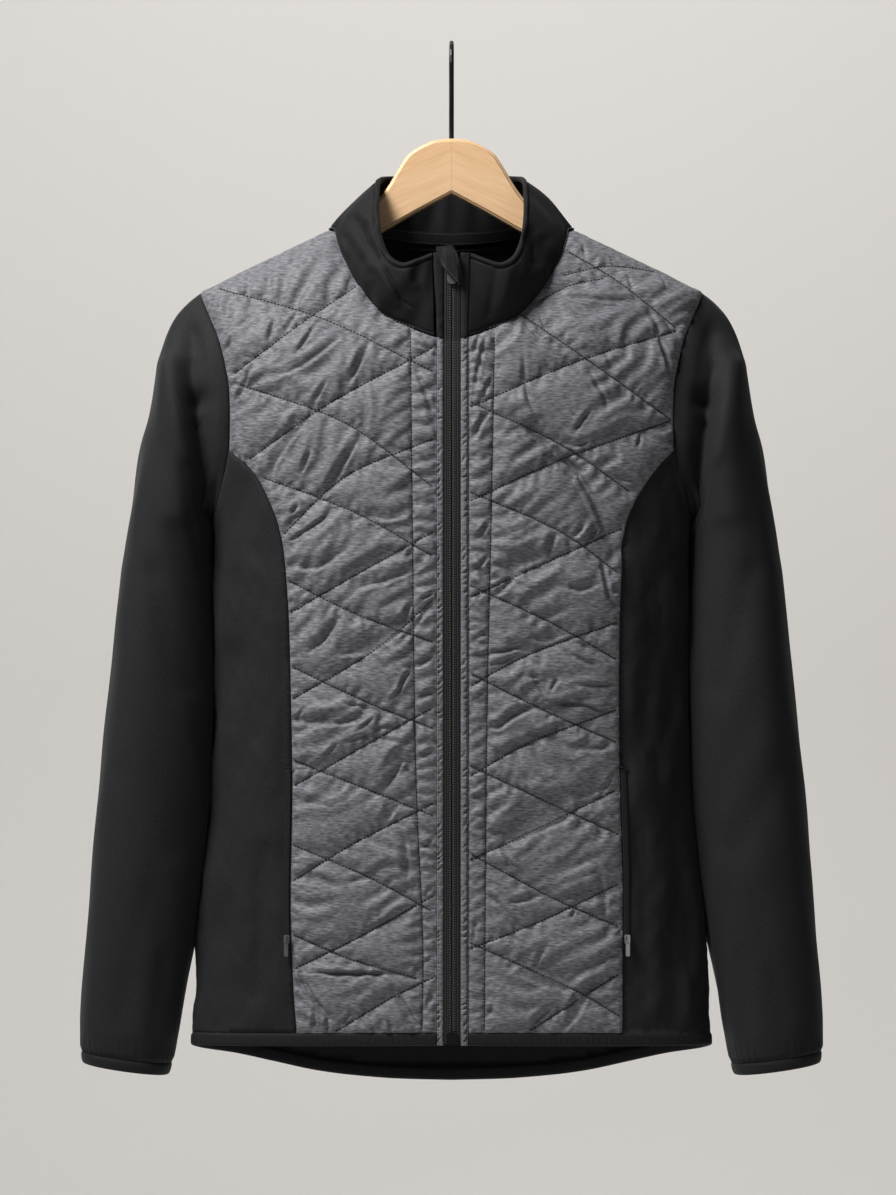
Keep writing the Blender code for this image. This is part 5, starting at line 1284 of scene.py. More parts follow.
def jersey_panel(name, outline, pitch, place, distance, seed, finishes):
    """A jersey panel cut in the flat, its outer layer with the relief and its inner one plain."""
    outline = inset(outline, SEAM_GAP / 2)
    height = panel_relief(outline, distance, seed)
    points, faces, spot = triangulated(outline, [], pitch)
    outer = place(*points.T, JERSEY_WALL / 2 + height(points))
    inner = place(*points.T, np.full(len(points), -JERSEY_WALL / 2))
    ring = np.array([spot[i] for i in range(len(outline))])
    return cloth_wall(name, outer, inner, faces, faces, ring, ring + len(points), finishes["jersey"],
                      np.concatenate([points, points]))


def make_jersey(finishes):
    """The side panels and the back."""
    for side, name in SIDES:
        made = jersey_panel(f"side_{name}", mirrored(side_outline(side), side), JERSEY_PITCH * 0.8, surface,
                            lambda s, z: s, 70 + side, finishes)
        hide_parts(f"side_panel_{name}")
    made = jersey_panel("back", back_outline(), JERSEY_PITCH, on_back, round_from_back, 90, finishes)
    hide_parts("back_panel")


# ---------------------------------------------------------------- sleeves

SLEEVE_PITCH = 4.0
SLEEVE_RINGS_COLUMNS = SLEEVE_COLUMNS * FINER
# The sleeve's girth, and the radius of a ring of that girth.
SLEEVE_GIRTH, SLEEVE_RADIUS = 290, 46
# Folds that only show, on the wearer's left sleeve and mirrored on the right one.
FINE_SLEEVE_FOLDS = (
    (214, -262, 205, -310, 4, -3.5, 0),
    (205, -310, 192, -366, 4.5, -4.5, 0),
    (226, -262, 214, -335, 6, 2.5, 0),
    (207, -250, 199, -300, 4, 2.2, 0),
    (250, -330, 240, -430, 10, -1.2, 0),
    (262, -430, 252, -600, 13, 1.2, 0),
    (240, -620, 256, -740, 12, 1.0, 0),
    (232, -740, 240, -810, 7, -1.4, 0),
    (240, -300, 226, -420, 9, 2.0, 1),
    (262, -420, 240, -560, 10, -1.8, 1),
    (240, -700, 248, -800, 8, -1.4, 1),
)
# Below this height the finished sleeve hangs smoother than its main form.
SLEEVE_SMOOTH_Z, SLEEVE_SMOOTH_SHARE = -400, 0.45


# The cuff binding's profile: the way down from its top, and how far its outside stands out there.
CUFF_PROFILE = (
    (0, 0.6), (0.25, 0.9), (0.8, 1.35), (2.2, 1.8), (4.4, 1.95), (6.6, 1.9), (CUFF_BINDING_HEIGHT - 1.4, 1.7),
    (CUFF_BINDING_HEIGHT - 0.4, 1.2), (CUFF_BINDING_HEIGHT, 0.6),
)
CUFF_COLUMNS = 240


def fine_armhole():
    """The sleeve's first ring, outer, middle and inner: down the armhole's front and up its back."""
    ring = inset(np.concatenate([FINE_FRONT[:-1], FINE_BACK[:0:-1]]), SLEEVE_GAP)
    return [surface(ring[:, 0], ring[:, 1], np.full(len(ring), k * JERSEY_WALL / 2)) for k in (1, 0, -1)]


def sleeve_shape(down, columns):
    """Ring points of the sleeve's middle layer at distances down the crown, before the armhole is fitted."""
    turn = np.arange(columns) * 2 * math.pi / columns
    power = 2 / SLEEVE_SQUARENESS
    across = np.sign(np.cos(turn)) * np.abs(np.cos(turn)) ** power
    deep = np.abs(np.sin(turn)) ** power
    crown = line_by_length(CROWN)(down)
    step = column(SLEEVE_RINGS, "under", "down", down)
    under = np.stack([column(UNDER, key, "step", step) for key in ("x", "z")], axis=1)
    front, back, set_back = (column(SLEEVE_RINGS, key, "down", down) for key in ("front", "back", "set_back"))
    middle, half = (crown + under) / 2, (crown - under) / 2
    grid = np.zeros((len(down), columns, 3))
    grid[:, :, 0] = middle[:, :1] + half[:, :1] * across
    grid[:, :, 2] = middle[:, 1:] + half[:, 1:] * across
    grid[:, :, 1] = np.where(np.sin(turn) > 0, -front[:, None] * deep, back[:, None] * deep)
    grid[:, :, 1] += set_back[:, None] * (1 - across) / 2
    return grid


def sleeve_grid(side):
    """The sleeve's two layers with folds and gathers, on the wearer's left, and the cloth's own places."""
    columns = SLEEVE_RINGS_COLUMNS
    down = np.linspace(0, CUFF_SEAM_DOWN, round(CUFF_SEAM_DOWN / SLEEVE_PITCH))
    grid = sleeve_shape(down, columns)
    outer, seam, inner = fine_armhole()
    near = np.clip(1 - down / SLEEVE_BLEND, 0, 1)
    near = near * near * (3 - 2 * near)
    grid = grid + (seam - grid[0])[None] * near[:, None, None]
    normals = grid_normals(grid, True)
    free = (1 - np.exp(-down / 18))[:, None] * np.clip((CUFF_SEAM_DOWN - down) / 30, 0, 1)[:, None]
    flat = grid.reshape(-1, 3)
    main = tuple((*fold[:5], fold[5] * (SLEEVE_SMOOTH_SHARE if fold[1] < SLEEVE_SMOOTH_Z else 1), fold[6])
                 for fold in SLEEVE_FOLDS)
    height = fold_height(flat, main + FINE_SLEEVE_FOLDS).reshape(grid.shape[:2]) * free
    around = np.arange(columns)[None] * (SLEEVE_GIRTH / columns) + np.zeros((len(down), 1))
    # Waves over places on a ring have the same value where it closes.
    turn = 2 * math.pi * around / SLEEVE_GIRTH
    ring_x, ring_z = SLEEVE_RADIUS * np.cos(turn), SLEEVE_RADIUS * np.sin(turn)
    small = waves(ring_x + 0.2 * down[:, None], ring_z + 0.22 * down[:, None], 130 + side, 34, 9)
    height += 0.3 * small * free
    above = CUFF_SEAM_DOWN - down[:, None]
    phase = np.round(SLEEVE_GIRTH / 6.5) * turn + 1.2 * waves(ring_x, ring_z, 7 + side, 40)
    height += 1.1 * np.sin(phase) * (bell(above, 11) * np.clip(above / 1.5, 0, 1))
    grid = clear_of_body(grid + normals * height[:, :, None])
    normals = grid_normals(grid, True)
    layers = [grid + normals * k * JERSEY_WALL / 2 for k in (1, -1)]
    layers[0][0], layers[1][0] = outer, inner
    uv = np.stack([around, np.broadcast_to(-down[:, None], around.shape)], axis=2)
    return layers, uv


def make_sleeves(finishes):
    """The sleeves, and the bindings round their cuffs."""
    for side, name in SIDES:
        flip = np.array((side, 1, 1))
        (outer, inner), uv = sleeve_grid(side)
        made = shell(f"arm_{name}", outer * flip, inner * flip, finishes["jersey"], uv, closed=True)
        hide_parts(f"sleeve_{name}")
        top = CUFF_SEAM_DOWN + 2 * SEAM_GAP
        down, out = np.array(CUFF_PROFILE).T
        middle = sleeve_shape(top + down, CUFF_COLUMNS)
        normals = grid_normals(middle, True)
        out = out[:, None, None]
        outer, inner = middle + normals * out, middle - normals * out * 0.7
        around = np.broadcast_to(np.arange(CUFF_COLUMNS)[None] * 0.85, (len(down), CUFF_COLUMNS))
        uv = np.stack([around, np.broadcast_to(-down[:, None], around.shape)], axis=2)
        made = shell(f"cuff_{name}", outer * flip, inner * flip, finishes["binding"], uv, closed=True)
        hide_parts(f"cuff_binding_{name}")


# ---------------------------------------------------------------- collar and neck

COLLAR_FINE_COLUMNS = 560
# Where the rows of the rolled top edge lie below it, and how many more follow down to the neck seam.
COLLAR_DOWN = (0, 0.25, 0.7, 1.3, 2.0, 2.7, 3.3, 3.9, 4.3, 4.7, 5.3, 6.2, 7.5, 9.5)
COLLAR_BODY_ROWS = 56
COLLAR_STITCH_DOWN = 4.3
# How far from the collar's front edges the stitches above its neck seam end.
COLLAR_STITCH_CLEAR = 18
COLLAR_FOLDS = (
    # x0, z0, x1, z1, width, depth, behind
    (-60, -184, -43, -213, 3.2, 1.2, 0),
    (-46, -172, -30, -200, 4.0, 1.8, 0),
    (-76, -146, -60, -178, 4.5, -2.8, 0),
    (-66, -146, -54, -172, 3.6, 1.8, 0),
    (-84, -160, -66, -190, 4.0, -1.6, 0),
    (63, -156, 67, -178, 6.0, -3.0, 0),
    (74, -162, 60, -196, 5.0, -1.6, 0),
    (48, -184, 40, -214, 4.0, 1.0, 0),
    (36, -188, 30, -222, 3.4, -1.0, 0),
)
# Sharp creases down the collar's front: width, depth, then x and z of the points along each.
COLLAR_CREASES = (
    (1.3, 1.9, -56, -182, -50, -192, -44, -203, -39.5, -211, -34, -215.5, -28.5, -218.5),
    (1.5, 0.9, -75, -150, -70, -162, -64, -172),
    (1.5, 0.8, -66, -148, -60, -160, -58, -168),
    (1.8, 0.8, 66, -156, 68, -166, 67, -180),
)


def collar_creased(points):
    """How deep the collar's sharp creases are at each point."""
    deep = np.zeros(len(points))
    for width, depth, *places in COLLAR_CREASES:
        line = np.array(places, float).reshape(-1, 2)
        away = np.min([from_segment(points[:, 0], points[:, 2], *a, *b) for a, b in zip(line[:-1], line[1:])],
                      axis=0)
        ends = np.min([np.hypot(points[:, 0] - x, points[:, 2] - z) for x, z in (line[0], line[-1])], axis=0)
        deep += depth * bell(away, width) * np.clip(ends / 9, 0.15, 1)
    return deep * (points[:, 1] < 0)


def collar_grid(side_out):
    """The collar's fine outer or inner layer, with its rolled and stitched top edge."""

    def shares(tall):
        near = np.array(COLLAR_DOWN)[:, None] / tall[None]
        rest = near[-1] + (1 - near[-1]) * np.linspace(0, 1, COLLAR_BODY_ROWS)[1:, None]
        return np.concatenate([near, rest])

    grid, normals, t, seam, tall = collar_form(COLLAR_FINE_COLUMNS, shares)
    down = t * tall[None]
    calm = np.clip(t / 0.06, 0, 1) * np.clip((1 - t) / 0.12, 0, 1)
    around = np.broadcast_to(run_of(seam)[None], down.shape)
    flat_points = grid.reshape(-1, 3)
    lift = (fold_height(flat_points, COLLAR_FOLDS) - collar_creased(flat_points)).reshape(down.shape)
    lift = (lift + 0.5 * waves(around, down * 0.6, 210, 30, 9)) * calm
    roll = 0.8 * bell(down - 2.2, 1.6) - 1.3 * bell(down - COLLAR_STITCH_DOWN, 0.75)
    wall = COLLAR_WALL / 2 * rounded(down, 1.7, 0.02)
    foot = np.clip((down - (tall - 1.2)) / 1.2, 0, 1)
    wall = wall * (1 - 0.25 * foot) - 0.7 * bell(tall - down - 3.1, 0.7)
    uv = np.stack([around, -down], axis=2)
    return grid + normals * (lift + side_out * (wall + roll * np.clip(down / 1.5, 0, 1)))[:, :, None], uv


def make_collar(finishes):
    """The collar, and the dotted row of stitches above its neck seam."""
    (outer, uv), inner = collar_grid(1), collar_grid(-1)[0]
    # The collar gets the darker jersey: painted shade where it faces the key lamp.
    made = shell("collar_cloth", outer, inner, finishes["painted_shade_jersey"], uv)
    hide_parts("collar")
    row = outer[-3]
    run = run_of(row)
    at = np.arange(COLLAR_STITCH_CLEAR, run[-1] - COLLAR_STITCH_CLEAR, STITCH_PITCH)
    place, near = (points_at(at + k, run, row) for k in (0, 0.5))
    out = points_at(at, run, outer[-2] - inner[-2])
    dashes("neck_seam_stitches", place + 0.3 * unit(out), near - place, out, finishes["neck_thread"],
                   1.7, 0.32)


def make_neck_tape(finishes):
    """The tape over the seam inside the back of the neck."""
    grid, normals = collar_form(COLLAR_COLUMNS, lambda tall: np.linspace(0, 1, 13)[:, None])[:2]
    inner = grid - normals * COLLAR_WALL / 2
    first = (COLLAR_COLUMNS - NECK_TAPE_COLUMNS) // 2
    rows = finer(inner[-4:-1, first : first + NECK_TAPE_COLUMNS + 1], 8, 6)
    normals = grid_normals(rows, False)
    near, far = rows - normals * 2 * SEAM_GAP, rows - normals * (2 * SEAM_GAP + NECK_TAPE_WALL)
    uv = np.stack(np.meshgrid(np.arange(rows.shape[1]) * 1.3, np.arange(rows.shape[0]) * -1.0), axis=2)
    made = shell("neck_band", near, far, finishes["jersey"], uv)
    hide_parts("neck_tape")
    return far, normals


def finer(grid, down, across):
    """The grid with that many steps for each of its own, on straight lines."""
    places = [np.linspace(0, n - 1, (n - 1) * parts + 1) for n, parts in zip(grid.shape, (down, across))]
    i, j = (np.minimum(place.astype(int), n - 2) for place, n in zip(places, grid.shape))
    a, b = (places[0] - i)[:, None, None], (places[1] - j)[None, :, None]
    near, far = (rows[:, j] * (1 - b) + rows[:, j + 1] * b for rows in (grid[i], grid[i + 1]))
    return near * (1 - a) + far * a


# ---------------------------------------------------------------- the centre front

def neck_slant(x):
    """How far above the middle's the neck seam lies, that far out from the middle."""
    return np.interp(np.abs(x), (0, 17), (0, NECK_SEAM["z"][1] - NECK_SEAM["z"][0]))


def upright(name, x_edges, z_top, z_bottom, wall, finish, relief, pitch=1.0, across=9, round_edge=0.6,
            slant=(0, 0)):
    """A strip beside the centre front between its two sides, each as {height: x}. relief(u, x, z) raises its
    front, where u runs from 0 at the zip to 1 at the outer side. slant is how much of the neck seam's slope
    its top and its foot follow."""
    z = np.linspace(z_top, z_bottom, round((z_top - z_bottom) / pitch) + 1)
    ends = [np.interp(z, sorted(edge), [edge[k] for k in sorted(edge)]) for edge in x_edges]
    u = crowded_ends(across)
    x = ends[0][:, None] * (1 - u) + ends[1][:, None] * u
    share = ((z_top - z) / (z_top - z_bottom))[:, None]
    zz = z[:, None] + neck_slant(x) * (slant[0] * (1 - share) ** 8 + slant[1] * share**4)
    wide = np.abs(ends[1] - ends[0])[:, None]
    edge = np.minimum(u[None] * wide, (1 - u)[None] * wide)
    full = rounded(edge, round_edge)
    depth = centre_depth(zz.ravel()).reshape(zz.shape)
    front = -depth - wall / 2 * full - relief(np.broadcast_to(u, x.shape), x, zz) * np.clip(edge / 0.8, 0, 1)
    back = -depth + wall / 2 * full
    uv = np.stack([x, zz], axis=2)
    return shell(name, *(np.stack([x, y, zz], axis=2) for y in (front, back)), finish, uv)


# The strips' puckers along the zip: how far apart and how deep.
STRIP_PUCKERS, STRIP_PUCKER_DEPTH = 5.6, 2.3


def make_centre_front(finishes):
    """The strips, the collar's facings and the zip's tapes, from the centre front outwards."""
    gap = SEAM_GAP / 2
    neck, top, hem = NECK_FRONT_Z, COLLAR_TOP_FRONT_Z, FRONT_HEM_Z
    outers = ((TAPE_OUTER_RIGHT, STRIP_OUTER_RIGHT), (TAPE_OUTER_LEFT, STRIP_OUTER_LEFT))
    for (side, name), (tape, edge) in zip(SIDES, outers):
        inner = {hem: tape + side * gap, top: tape + side * gap}
        outer = {hem: edge - side * gap, neck: edge - side * gap}

        def gathered(u, x, z, side=side):
            phase = 2 * math.pi * (z - 0.8 * x) / STRIP_PUCKERS + 1.6 * waves(z, x, 310 + side, 26)
            sharp = 1 - np.abs(np.sin(phase / 2)) ** 0.7
            deep = np.clip(0.45 + 0.6 * waves(z, 2 * x, 300 + side, 19), 0, 1.3)
            return 0.9 * (1 - u) * u * 4 - STRIP_PUCKER_DEPTH * deep * sharp * np.clip(1.5 * u, 0.25, 1)

        made = upright(f"edge_strip_{name}", (inner, outer), neck - gap, hem, FRONT_STRIP_WALL,
                       finishes["quilted_shell"], gathered, pitch=0.7, across=11, slant=(1, 0))
        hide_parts(f"front_strip_{name}")
        collar_outer = {neck: edge - side * 0.4, top: side * (COLLAR_TOP["x"][0] - 1.2)}
        made = upright(f"facing_{name}", (inner, collar_outer), top, neck + gap, FRONT_STRIP_WALL,
                       finishes["jersey"], lambda u, x, z: 0.7 * (1 - u) * u * 4 + 0.2 * waves(x, z, 330, 14),
                       round_edge=0.4, slant=(0, 1))
        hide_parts(f"collar_facing_{name}")
        tape_outer = {hem: tape - side * gap, top: tape - side * gap}
        middle = {hem: ZIP_MIDDLE + side * gap, top: ZIP_MIDDLE + side * gap}

        def ribbed(u, x, z):
            return 0.10 * np.cos(u * 2 * math.pi * 3) + 0.06 * np.sin(2 * math.pi * z / 1.5) * (u < 0.4)

        made = upright(f"tape_{name}", (middle, tape_outer), top - 4, hem + 1, TAPE_WALL,
                       finishes["zip_tape"], ribbed, pitch=0.8, across=13, round_edge=0.35)
        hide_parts(f"zip_tape_{name}")


# The teeth's distance down the zip and to either side of its middle.
ZIP_CHAIN_PITCH, ZIP_CHAIN_OUT = 2.0, 1.5


def make_zip_chain(finishes):
    """The zip's covered teeth as they show through the tape: two close columns of small beads."""
    z = np.arange(FRONT_HEM_Z + 11, SLIDER_FOOT_Z - 1, ZIP_CHAIN_PITCH)
    middles = []
    for side, lift in ((-1, 0), (1, ZIP_CHAIN_PITCH / 2)):
        height = z + lift
        out = centre_depth(height) + TAPE_WALL / 2 + 0.05
        middles.append(np.stack([np.full(len(z), ZIP_MIDDLE + side * ZIP_CHAIN_OUT), -out, height], axis=1))
    middles = np.concatenate(middles)
    ways = np.where(np.arange(len(middles))[:, None] < len(z), (1.0, 0, 0.45), (1.0, 0, -0.45))
    outs = np.broadcast_to((0.0, -1.0, 0.0), middles.shape)
    made = dashes("zip_chain", middles, ways, outs, finishes["zip_chain"], 2.3, 0.6)


# The flap over the slider: x and z of its left and right edges by the share of the way down.
FLAP = {
    "down": (0, 0.12, 0.3, 0.5, 0.7, 0.85, 0.95, 1),
    "left_x": (-12.4, -12.2, -10.6, -6.9, -2.6, 1.8, 4.4, 5.8),
    "right_x": (0.4, 2.0, 4.4, 6.6, 8.2, 8.9, 8.7, 6.6),
    "left_z": (-169.6, -172.0, -178.5, -185.5, -191.6, -195.6, -198.3, -200.0),
    "right_z": (-168.6, -170.2, -174.5, -180.4, -187.4, -193.6, -198.0, -200.6),
}
# How far in from its slanting edge the flap's stitches lie, and how far it stands off the solid's place.
FLAP_STITCH_IN, FLAP_LIFT = 1.7, 1.9
FLAP_ROWS, FLAP_COLUMNS = 70, 49


def make_garage(finishes):
    """The cloth flap over the slider, its slanting edge turned and stitched."""
    down = np.linspace(0, 1, FLAP_ROWS)
    left_x, right_x, left_z, right_z = (
        column(FLAP, key, "down", down)[:, None] for key in ("left_x", "right_x", "left_z", "right_z")
    )
    mix = crowded_ends(FLAP_COLUMNS)[None]
    x, z = left_x * (1 - mix) + right_x * mix, left_z * (1 - mix) + right_z * mix
    wide = np.hypot(right_x - left_x, right_z - left_z)
    foot = (1 - down)[:, None] * 30
    edge = np.minimum(np.minimum(mix, 1 - mix) * wide, foot)
    left = np.minimum(mix * wide, foot)
    over_slider = 1 - smooth_step(np.abs(x - ZIP_MIDDLE), SLIDER_WIDTH / 2 + 0.4, SLIDER_WIDTH / 2 + 5)
    over_slider = over_slider * (1 - 0.35 * smooth_step(z, -178, -169))
    out = FLAP_LIFT + GARAGE_EDGE_OUT + (GARAGE_MIDDLE_OUT - GARAGE_EDGE_OUT) * over_slider
    out = out + 0.5 * np.sin(math.pi * np.clip((x - left_x) / np.maximum(right_x - left_x, 1e-6), 0, 1))
    seam = -0.4 * bell(left - FLAP_STITCH_IN, 0.5) + 0.5 * bell(edge - 0.9, 0.6)
    fold = -0.35 * bell(from_segment(x, z, 2.5, -171, 6.0, -189), 0.9)
    thick = rounded(edge, 0.8)
    depth = centre_depth(z.ravel()).reshape(z.shape)
    front = -depth - out - thick * GARAGE_WALL / 2 - seam - fold
    back = -depth - out + thick * GARAGE_WALL / 2
    front, back = (np.stack([x, y, z], axis=2) for y in (front, back))
    made = shell("garage_flap", front, back, finishes["jersey"], np.stack([x, z], axis=2))
    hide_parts("zip_garage")
    inner = np.argmin(np.abs(mix * wide - FLAP_STITCH_IN), axis=1)
    line = front[np.arange(FLAP_ROWS), inner][: FLAP_ROWS - 6]
    at = np.arange(2, len(line) - 1, 3)
    outs = np.broadcast_to((0.0, -1.0, 0.0), (len(at), 3))
    made = dashes("flap_stitches", line[at] + (0, -0.1, 0), line[at + 1] - line[at - 1], outs,
                  finishes["neck_thread"], 1.1, 0.22)


# ---------------------------------------------------------------- bindings and pocket tapes

# The hem binding's profile: the way down from its top, and its wall there.
HEM_PROFILE = (
    (-0.9, SHELL_WALL * 0.3), (-0.6, SHELL_WALL * 0.6), (0.4, SHELL_WALL), (1.0, BINDING_WALL * 0.94),
    (1.8, BINDING_WALL * 1.04), (3.6, BINDING_WALL * 1.08), (5.6, BINDING_WALL * 1.08),
    (7.6, BINDING_WALL * 1.05), (8.8, BINDING_WALL * 0.95), (9.6, BINDING_WALL * 0.6),
    (HEM_BINDING_HEIGHT, BINDING_WALL * 0.25),
)


def make_hem_binding(finishes):
    """The binding all round the hem, from one strip beside the zip to the other."""
    start, end = abs(STRIP_OUTER_RIGHT), abs(STRIP_OUTER_LEFT)
    whole = 2 * HEM_HALF_ROUND
    along = np.linspace(start + SEAM_GAP, whole - end - SEAM_GAP, 900)
    s = np.where(along < whole / 2, -along, whole - along)
    layers = [[], []]
    for drop, wall in HEM_PROFILE:
        z = hem_z(s) + HEM_BINDING_HEIGHT - drop
        share = half_round(z) / HEM_HALF_ROUND
        body = math.sin(math.pi * min(1.0, max(0.0, drop) / HEM_BINDING_HEIGHT))
        pucker = 0.16 * body * np.sin(along / 0.75 + 1.5 * waves(along, 0 * along, 400, 30))
        for k, sign in enumerate((1, -1)):
            layers[k].append(surface(s * share, z, sign * (wall / 2 + pucker)))
    uv = np.stack(np.meshgrid(along, [-drop for drop, _ in HEM_PROFILE]), axis=2)
    made = shell("hem_edge", *np.array(layers), finishes["binding"], uv)
    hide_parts("hem_binding")


def make_pocket_tapes(finishes):
    """The tapes over the pocket zips beside the side seams, and a bar tack at both ends of each."""
    for side, name in SIDES:
        z = np.linspace(POCKET_TOP_Z, POCKET_FOOT_Z, 142)
        seam = s_of_x(column(PRINCESS_SEAM, name, "z", z), z)
        u = crowded_ends(11)
        low, high = (JERSEY_WALL / 2 + 2 * SEAM_GAP + part for part in (0, POCKET_TAPE_WALL))
        s = (seam[:, None] + POCKET_TAPE_CLEAR + u[None] * POCKET_TAPE_WIDTH) * side
        zz = np.broadcast_to(z[:, None], s.shape)
        edge = np.minimum(u, 1 - u)[None] * POCKET_TAPE_WIDTH
        full = rounded(edge, 0.5)
        rib = 0.12 * np.cos(u * 2 * math.pi * 2)[None] + 0.08 * np.sin(2 * math.pi * z / 1.6)[:, None]
        top = low + (high - low) * full + rib * full
        tops, feet = (surface(s.ravel(), zz.ravel(), np.broadcast_to(out, s.shape).ravel())
                      for out in (top, low))
        tops, feet = tops.reshape(*s.shape, 3), feet.reshape(*s.shape, 3)
        made = shell(f"pocket_tape_{name}", tops, feet, finishes["binding"], np.stack([s, zz], axis=2))
        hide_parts(f"pocket_zip_{name}")
        ends = np.array((POCKET_TOP_Z + 2, POCKET_FOOT_Z - 2))
        beside = s_of_x(column(PRINCESS_SEAM, name, "z", ends), ends) + POCKET_TAPE_WIDTH / 2
        place, near, above = (surface((beside + along) * side, ends, np.full(2, high + out))
                              for along, out in ((0, 0.4), (1, 0.4), (0, 1.4)))
        made = dashes(f"pocket_tacks_{name}", place, near - place, above - place, finishes["painted_shade_jersey"],
                      8.0, 0.7)


# ---------------------------------------------------------------- stitches

STITCH_PITCH, NECK_STITCH_PITCH = 3.0, 2.6


def dashes(name, middles, ways, outs, finish, length, radius):
    """Short spindles of thread lying at the middles along the ways, each a little sunk where it ends."""
    sides = 5
    turn = np.arange(sides) * 2 * math.pi / sides
    ways, outs = unit(ways), unit(outs)
    across = unit(np.cross(ways, outs))
    rings = []
    for along, size in ((-0.5, 0.25), (-0.32, 0.95), (0.32, 0.95), (0.5, 0.25)):
        centre = middles + ways * along * length - outs * (radius * (1.1 - size))
        rings.append(centre[:, None] + radius * size * (
            across[:, None] * np.cos(turn)[None, :, None] + outs[:, None] * np.sin(turn)[None, :, None]))
    points = np.stack(rings, axis=1).reshape(-1, 3)
    ring = np.arange(4 * sides).reshape(4, sides)
    after = np.roll(ring, -1, axis=1)
    quads = np.stack([ring[:-1], after[:-1], after[1:], ring[1:]], axis=-1).reshape(-1, 4)
    caps = np.array([ring[0][::-1], ring[-1]])
    start = (np.arange(len(middles)) * 4 * sides)[:, None, None]
    blocks = [(quads[None] + start).reshape(-1, 4), (caps[None] + start).reshape(-1, sides)]
    return piece(name, points, blocks, finish)


def stitch_row(line, out, side):
    """Stitches along an (s, z) line: where they lie, their way along it and which way is out."""
    run = run_of(line)
    at = np.arange(STITCH_PITCH * 0.5, run[-1] - STITCH_PITCH * 0.4, STITCH_PITCH)
    place, near = (points_at(at + step, run, line) * (side, 1) for step in (0, 0.4))
    here, there = (surface(*part.T, np.full(len(part), out)) for part in (place, near))
    return here, there - here, surface_normal(*place.T)


def make_stitches(finishes, quilting):
    """The stitches along the quilting and along the strips beside the zip."""
    for side, name in SIDES:
        rows = [stitch_row(line, SHELL_WALL / 2 + 0.1, side) for line in quilting[side]]
        here, ways, outs = (np.concatenate(part) for part in zip(*rows))
        dashes(f"quilt_stitches_{name}", here, ways, outs, finishes["thread"], 2.4, 0.42)
        edge = abs(STRIP_OUTER_RIGHT if side < 0 else STRIP_OUTER_LEFT)
        z = np.linspace(FRONT_HEM_Z + 2, NECK_FRONT_Z - 3, 200)
        line = np.stack([np.full(200, edge - 1.4), z], axis=1)
        here, ways, outs = stitch_row(line, FRONT_STRIP_WALL / 2 + 0.6, side)
        dashes(f"edge_stitches_{name}", here, ways, outs, finishes["thread"], 2.1, 0.28)


def make_neck_stitches(finishes, far, normals):
    """Two dotted rows on the tape inside the neck."""
    rows = []
    for row in (2, -3):
        line = far[row]
        run = run_of(line)
        at = np.arange(1.5, run[-1] - 1, NECK_STITCH_PITCH)
        place, near = (points_at(at + step, run, line) for step in (0, 0.4))
        facing = points_at(at, run, -normals[row])
        rows.append((place + facing * 0.1, near - place, facing))
    middles, ways, outs = (np.concatenate(part) for part in zip(*rows))
    dashes("neck_stitches", middles, ways, outs, finishes["neck_thread"], 1.7, 0.28)


# ---------------------------------------------------------------- hanger

# The radius that the wood's edges are rounded to, and the angles of the rings round it.
HANGER_EDGE = 2.6
HANGER_EDGE_TURNS = (0, 22, 45, 67, 90)


def make_hanger(finishes):
    """The wooden hanger with its outline drawn smooth and its edges rounded."""
    at = np.linspace(0, HANGER_TOP["x"][-1], 90)
    follow = np.linspace(106, HANGER_TIP_X - 5, 12)
    top = [(x, z) for x, z in zip(at, curve_through(HANGER_TOP["x"], HANGER_TOP["z"], at))]
    top += list(zip(follow, ridge_z(follow) - HANGER_UNDER_CLOTH))
    foot = list(zip(HANGER_FOOT["x"], HANGER_FOOT["z"]))[::-1]
    tip_z = (top[-1][1] + foot[0][1]) / 2
    half = top + [(HANGER_TIP_X, tip_z + 3), (HANGER_TIP_X, tip_z - 3)] + foot
    outline = np.array(half + [(-x, z) for x, z in half[-2:0:-1]], float)
    rings = []
    for angle in np.radians(HANGER_EDGE_TURNS):
        line = inset(outline, max(HANGER_EDGE * (1 - math.sin(angle)), 1e-4))
        rings.append((line, HANGER_THICKNESS / 2 - HANGER_EDGE * (1 - math.cos(angle))))
    layers = [(line, -y) for line, y in rings] + [(line, y) for line, y in rings[::-1]]
    points = np.concatenate([np.column_stack([line[:, 0], np.full(len(line), y), line[:, 1]])
                             for line, y in layers])
    count, last = len(outline), len(points) - len(outline)
    sides = grid_faces(len(layers), count, closed=True)
    caps = np.array([np.arange(count)[::-1], last + np.arange(count)])
    made = piece("hanger_body", points, [sides, caps], finishes["wood"])
    for face in made.data.polygons[-2:]:
        face.use_smooth = False
    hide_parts("hanger")


# ---------------------------------------------------------------- finishes

BUMP_DISTANCE = 0.0003
# How close the tape's dots lie, as the wave texture's scale, and the slope of the wood's grain in degrees.
TAPE_DOTS, WOOD_SLOPE = 157, 24.0
JOINT_HALF_WIDTH = 0.0003
# Each knit or thread: its colour and its paler one, roughness, wales, bump and sheen.
KNITS = {
    "jersey": ((0.0070, 0.0070, 0.0083), (0.0120, 0.0120, 0.0142), 0.75, 500, 0.25, 0.03),
    # The next knit is the jersey again, made darker: painted shade on the collar, which faces the key lamp.
    # The pocket tacks use it too.
    "painted_shade_jersey": ((0.0036, 0.0036, 0.0044), (0.0064, 0.0064, 0.0078), 0.75, 500, 0.25, 0.015),
    "binding": ((0.006, 0.006, 0.007), (0.011, 0.011, 0.012), 0.75, 420, 0.3, 0.02),
    "zip_chain": ((0.030, 0.030, 0.031), (0.055, 0.055, 0.056), 0.55, 900, 0.1, 0.0),
    "thread": ((0.006, 0.006, 0.007), (0.010, 0.010, 0.011), 0.6, 900, 0.1, 0.0),
    "neck_thread": ((0.09, 0.09, 0.095), (0.14, 0.14, 0.145), 0.6, 900, 0.1, 0.0),
}
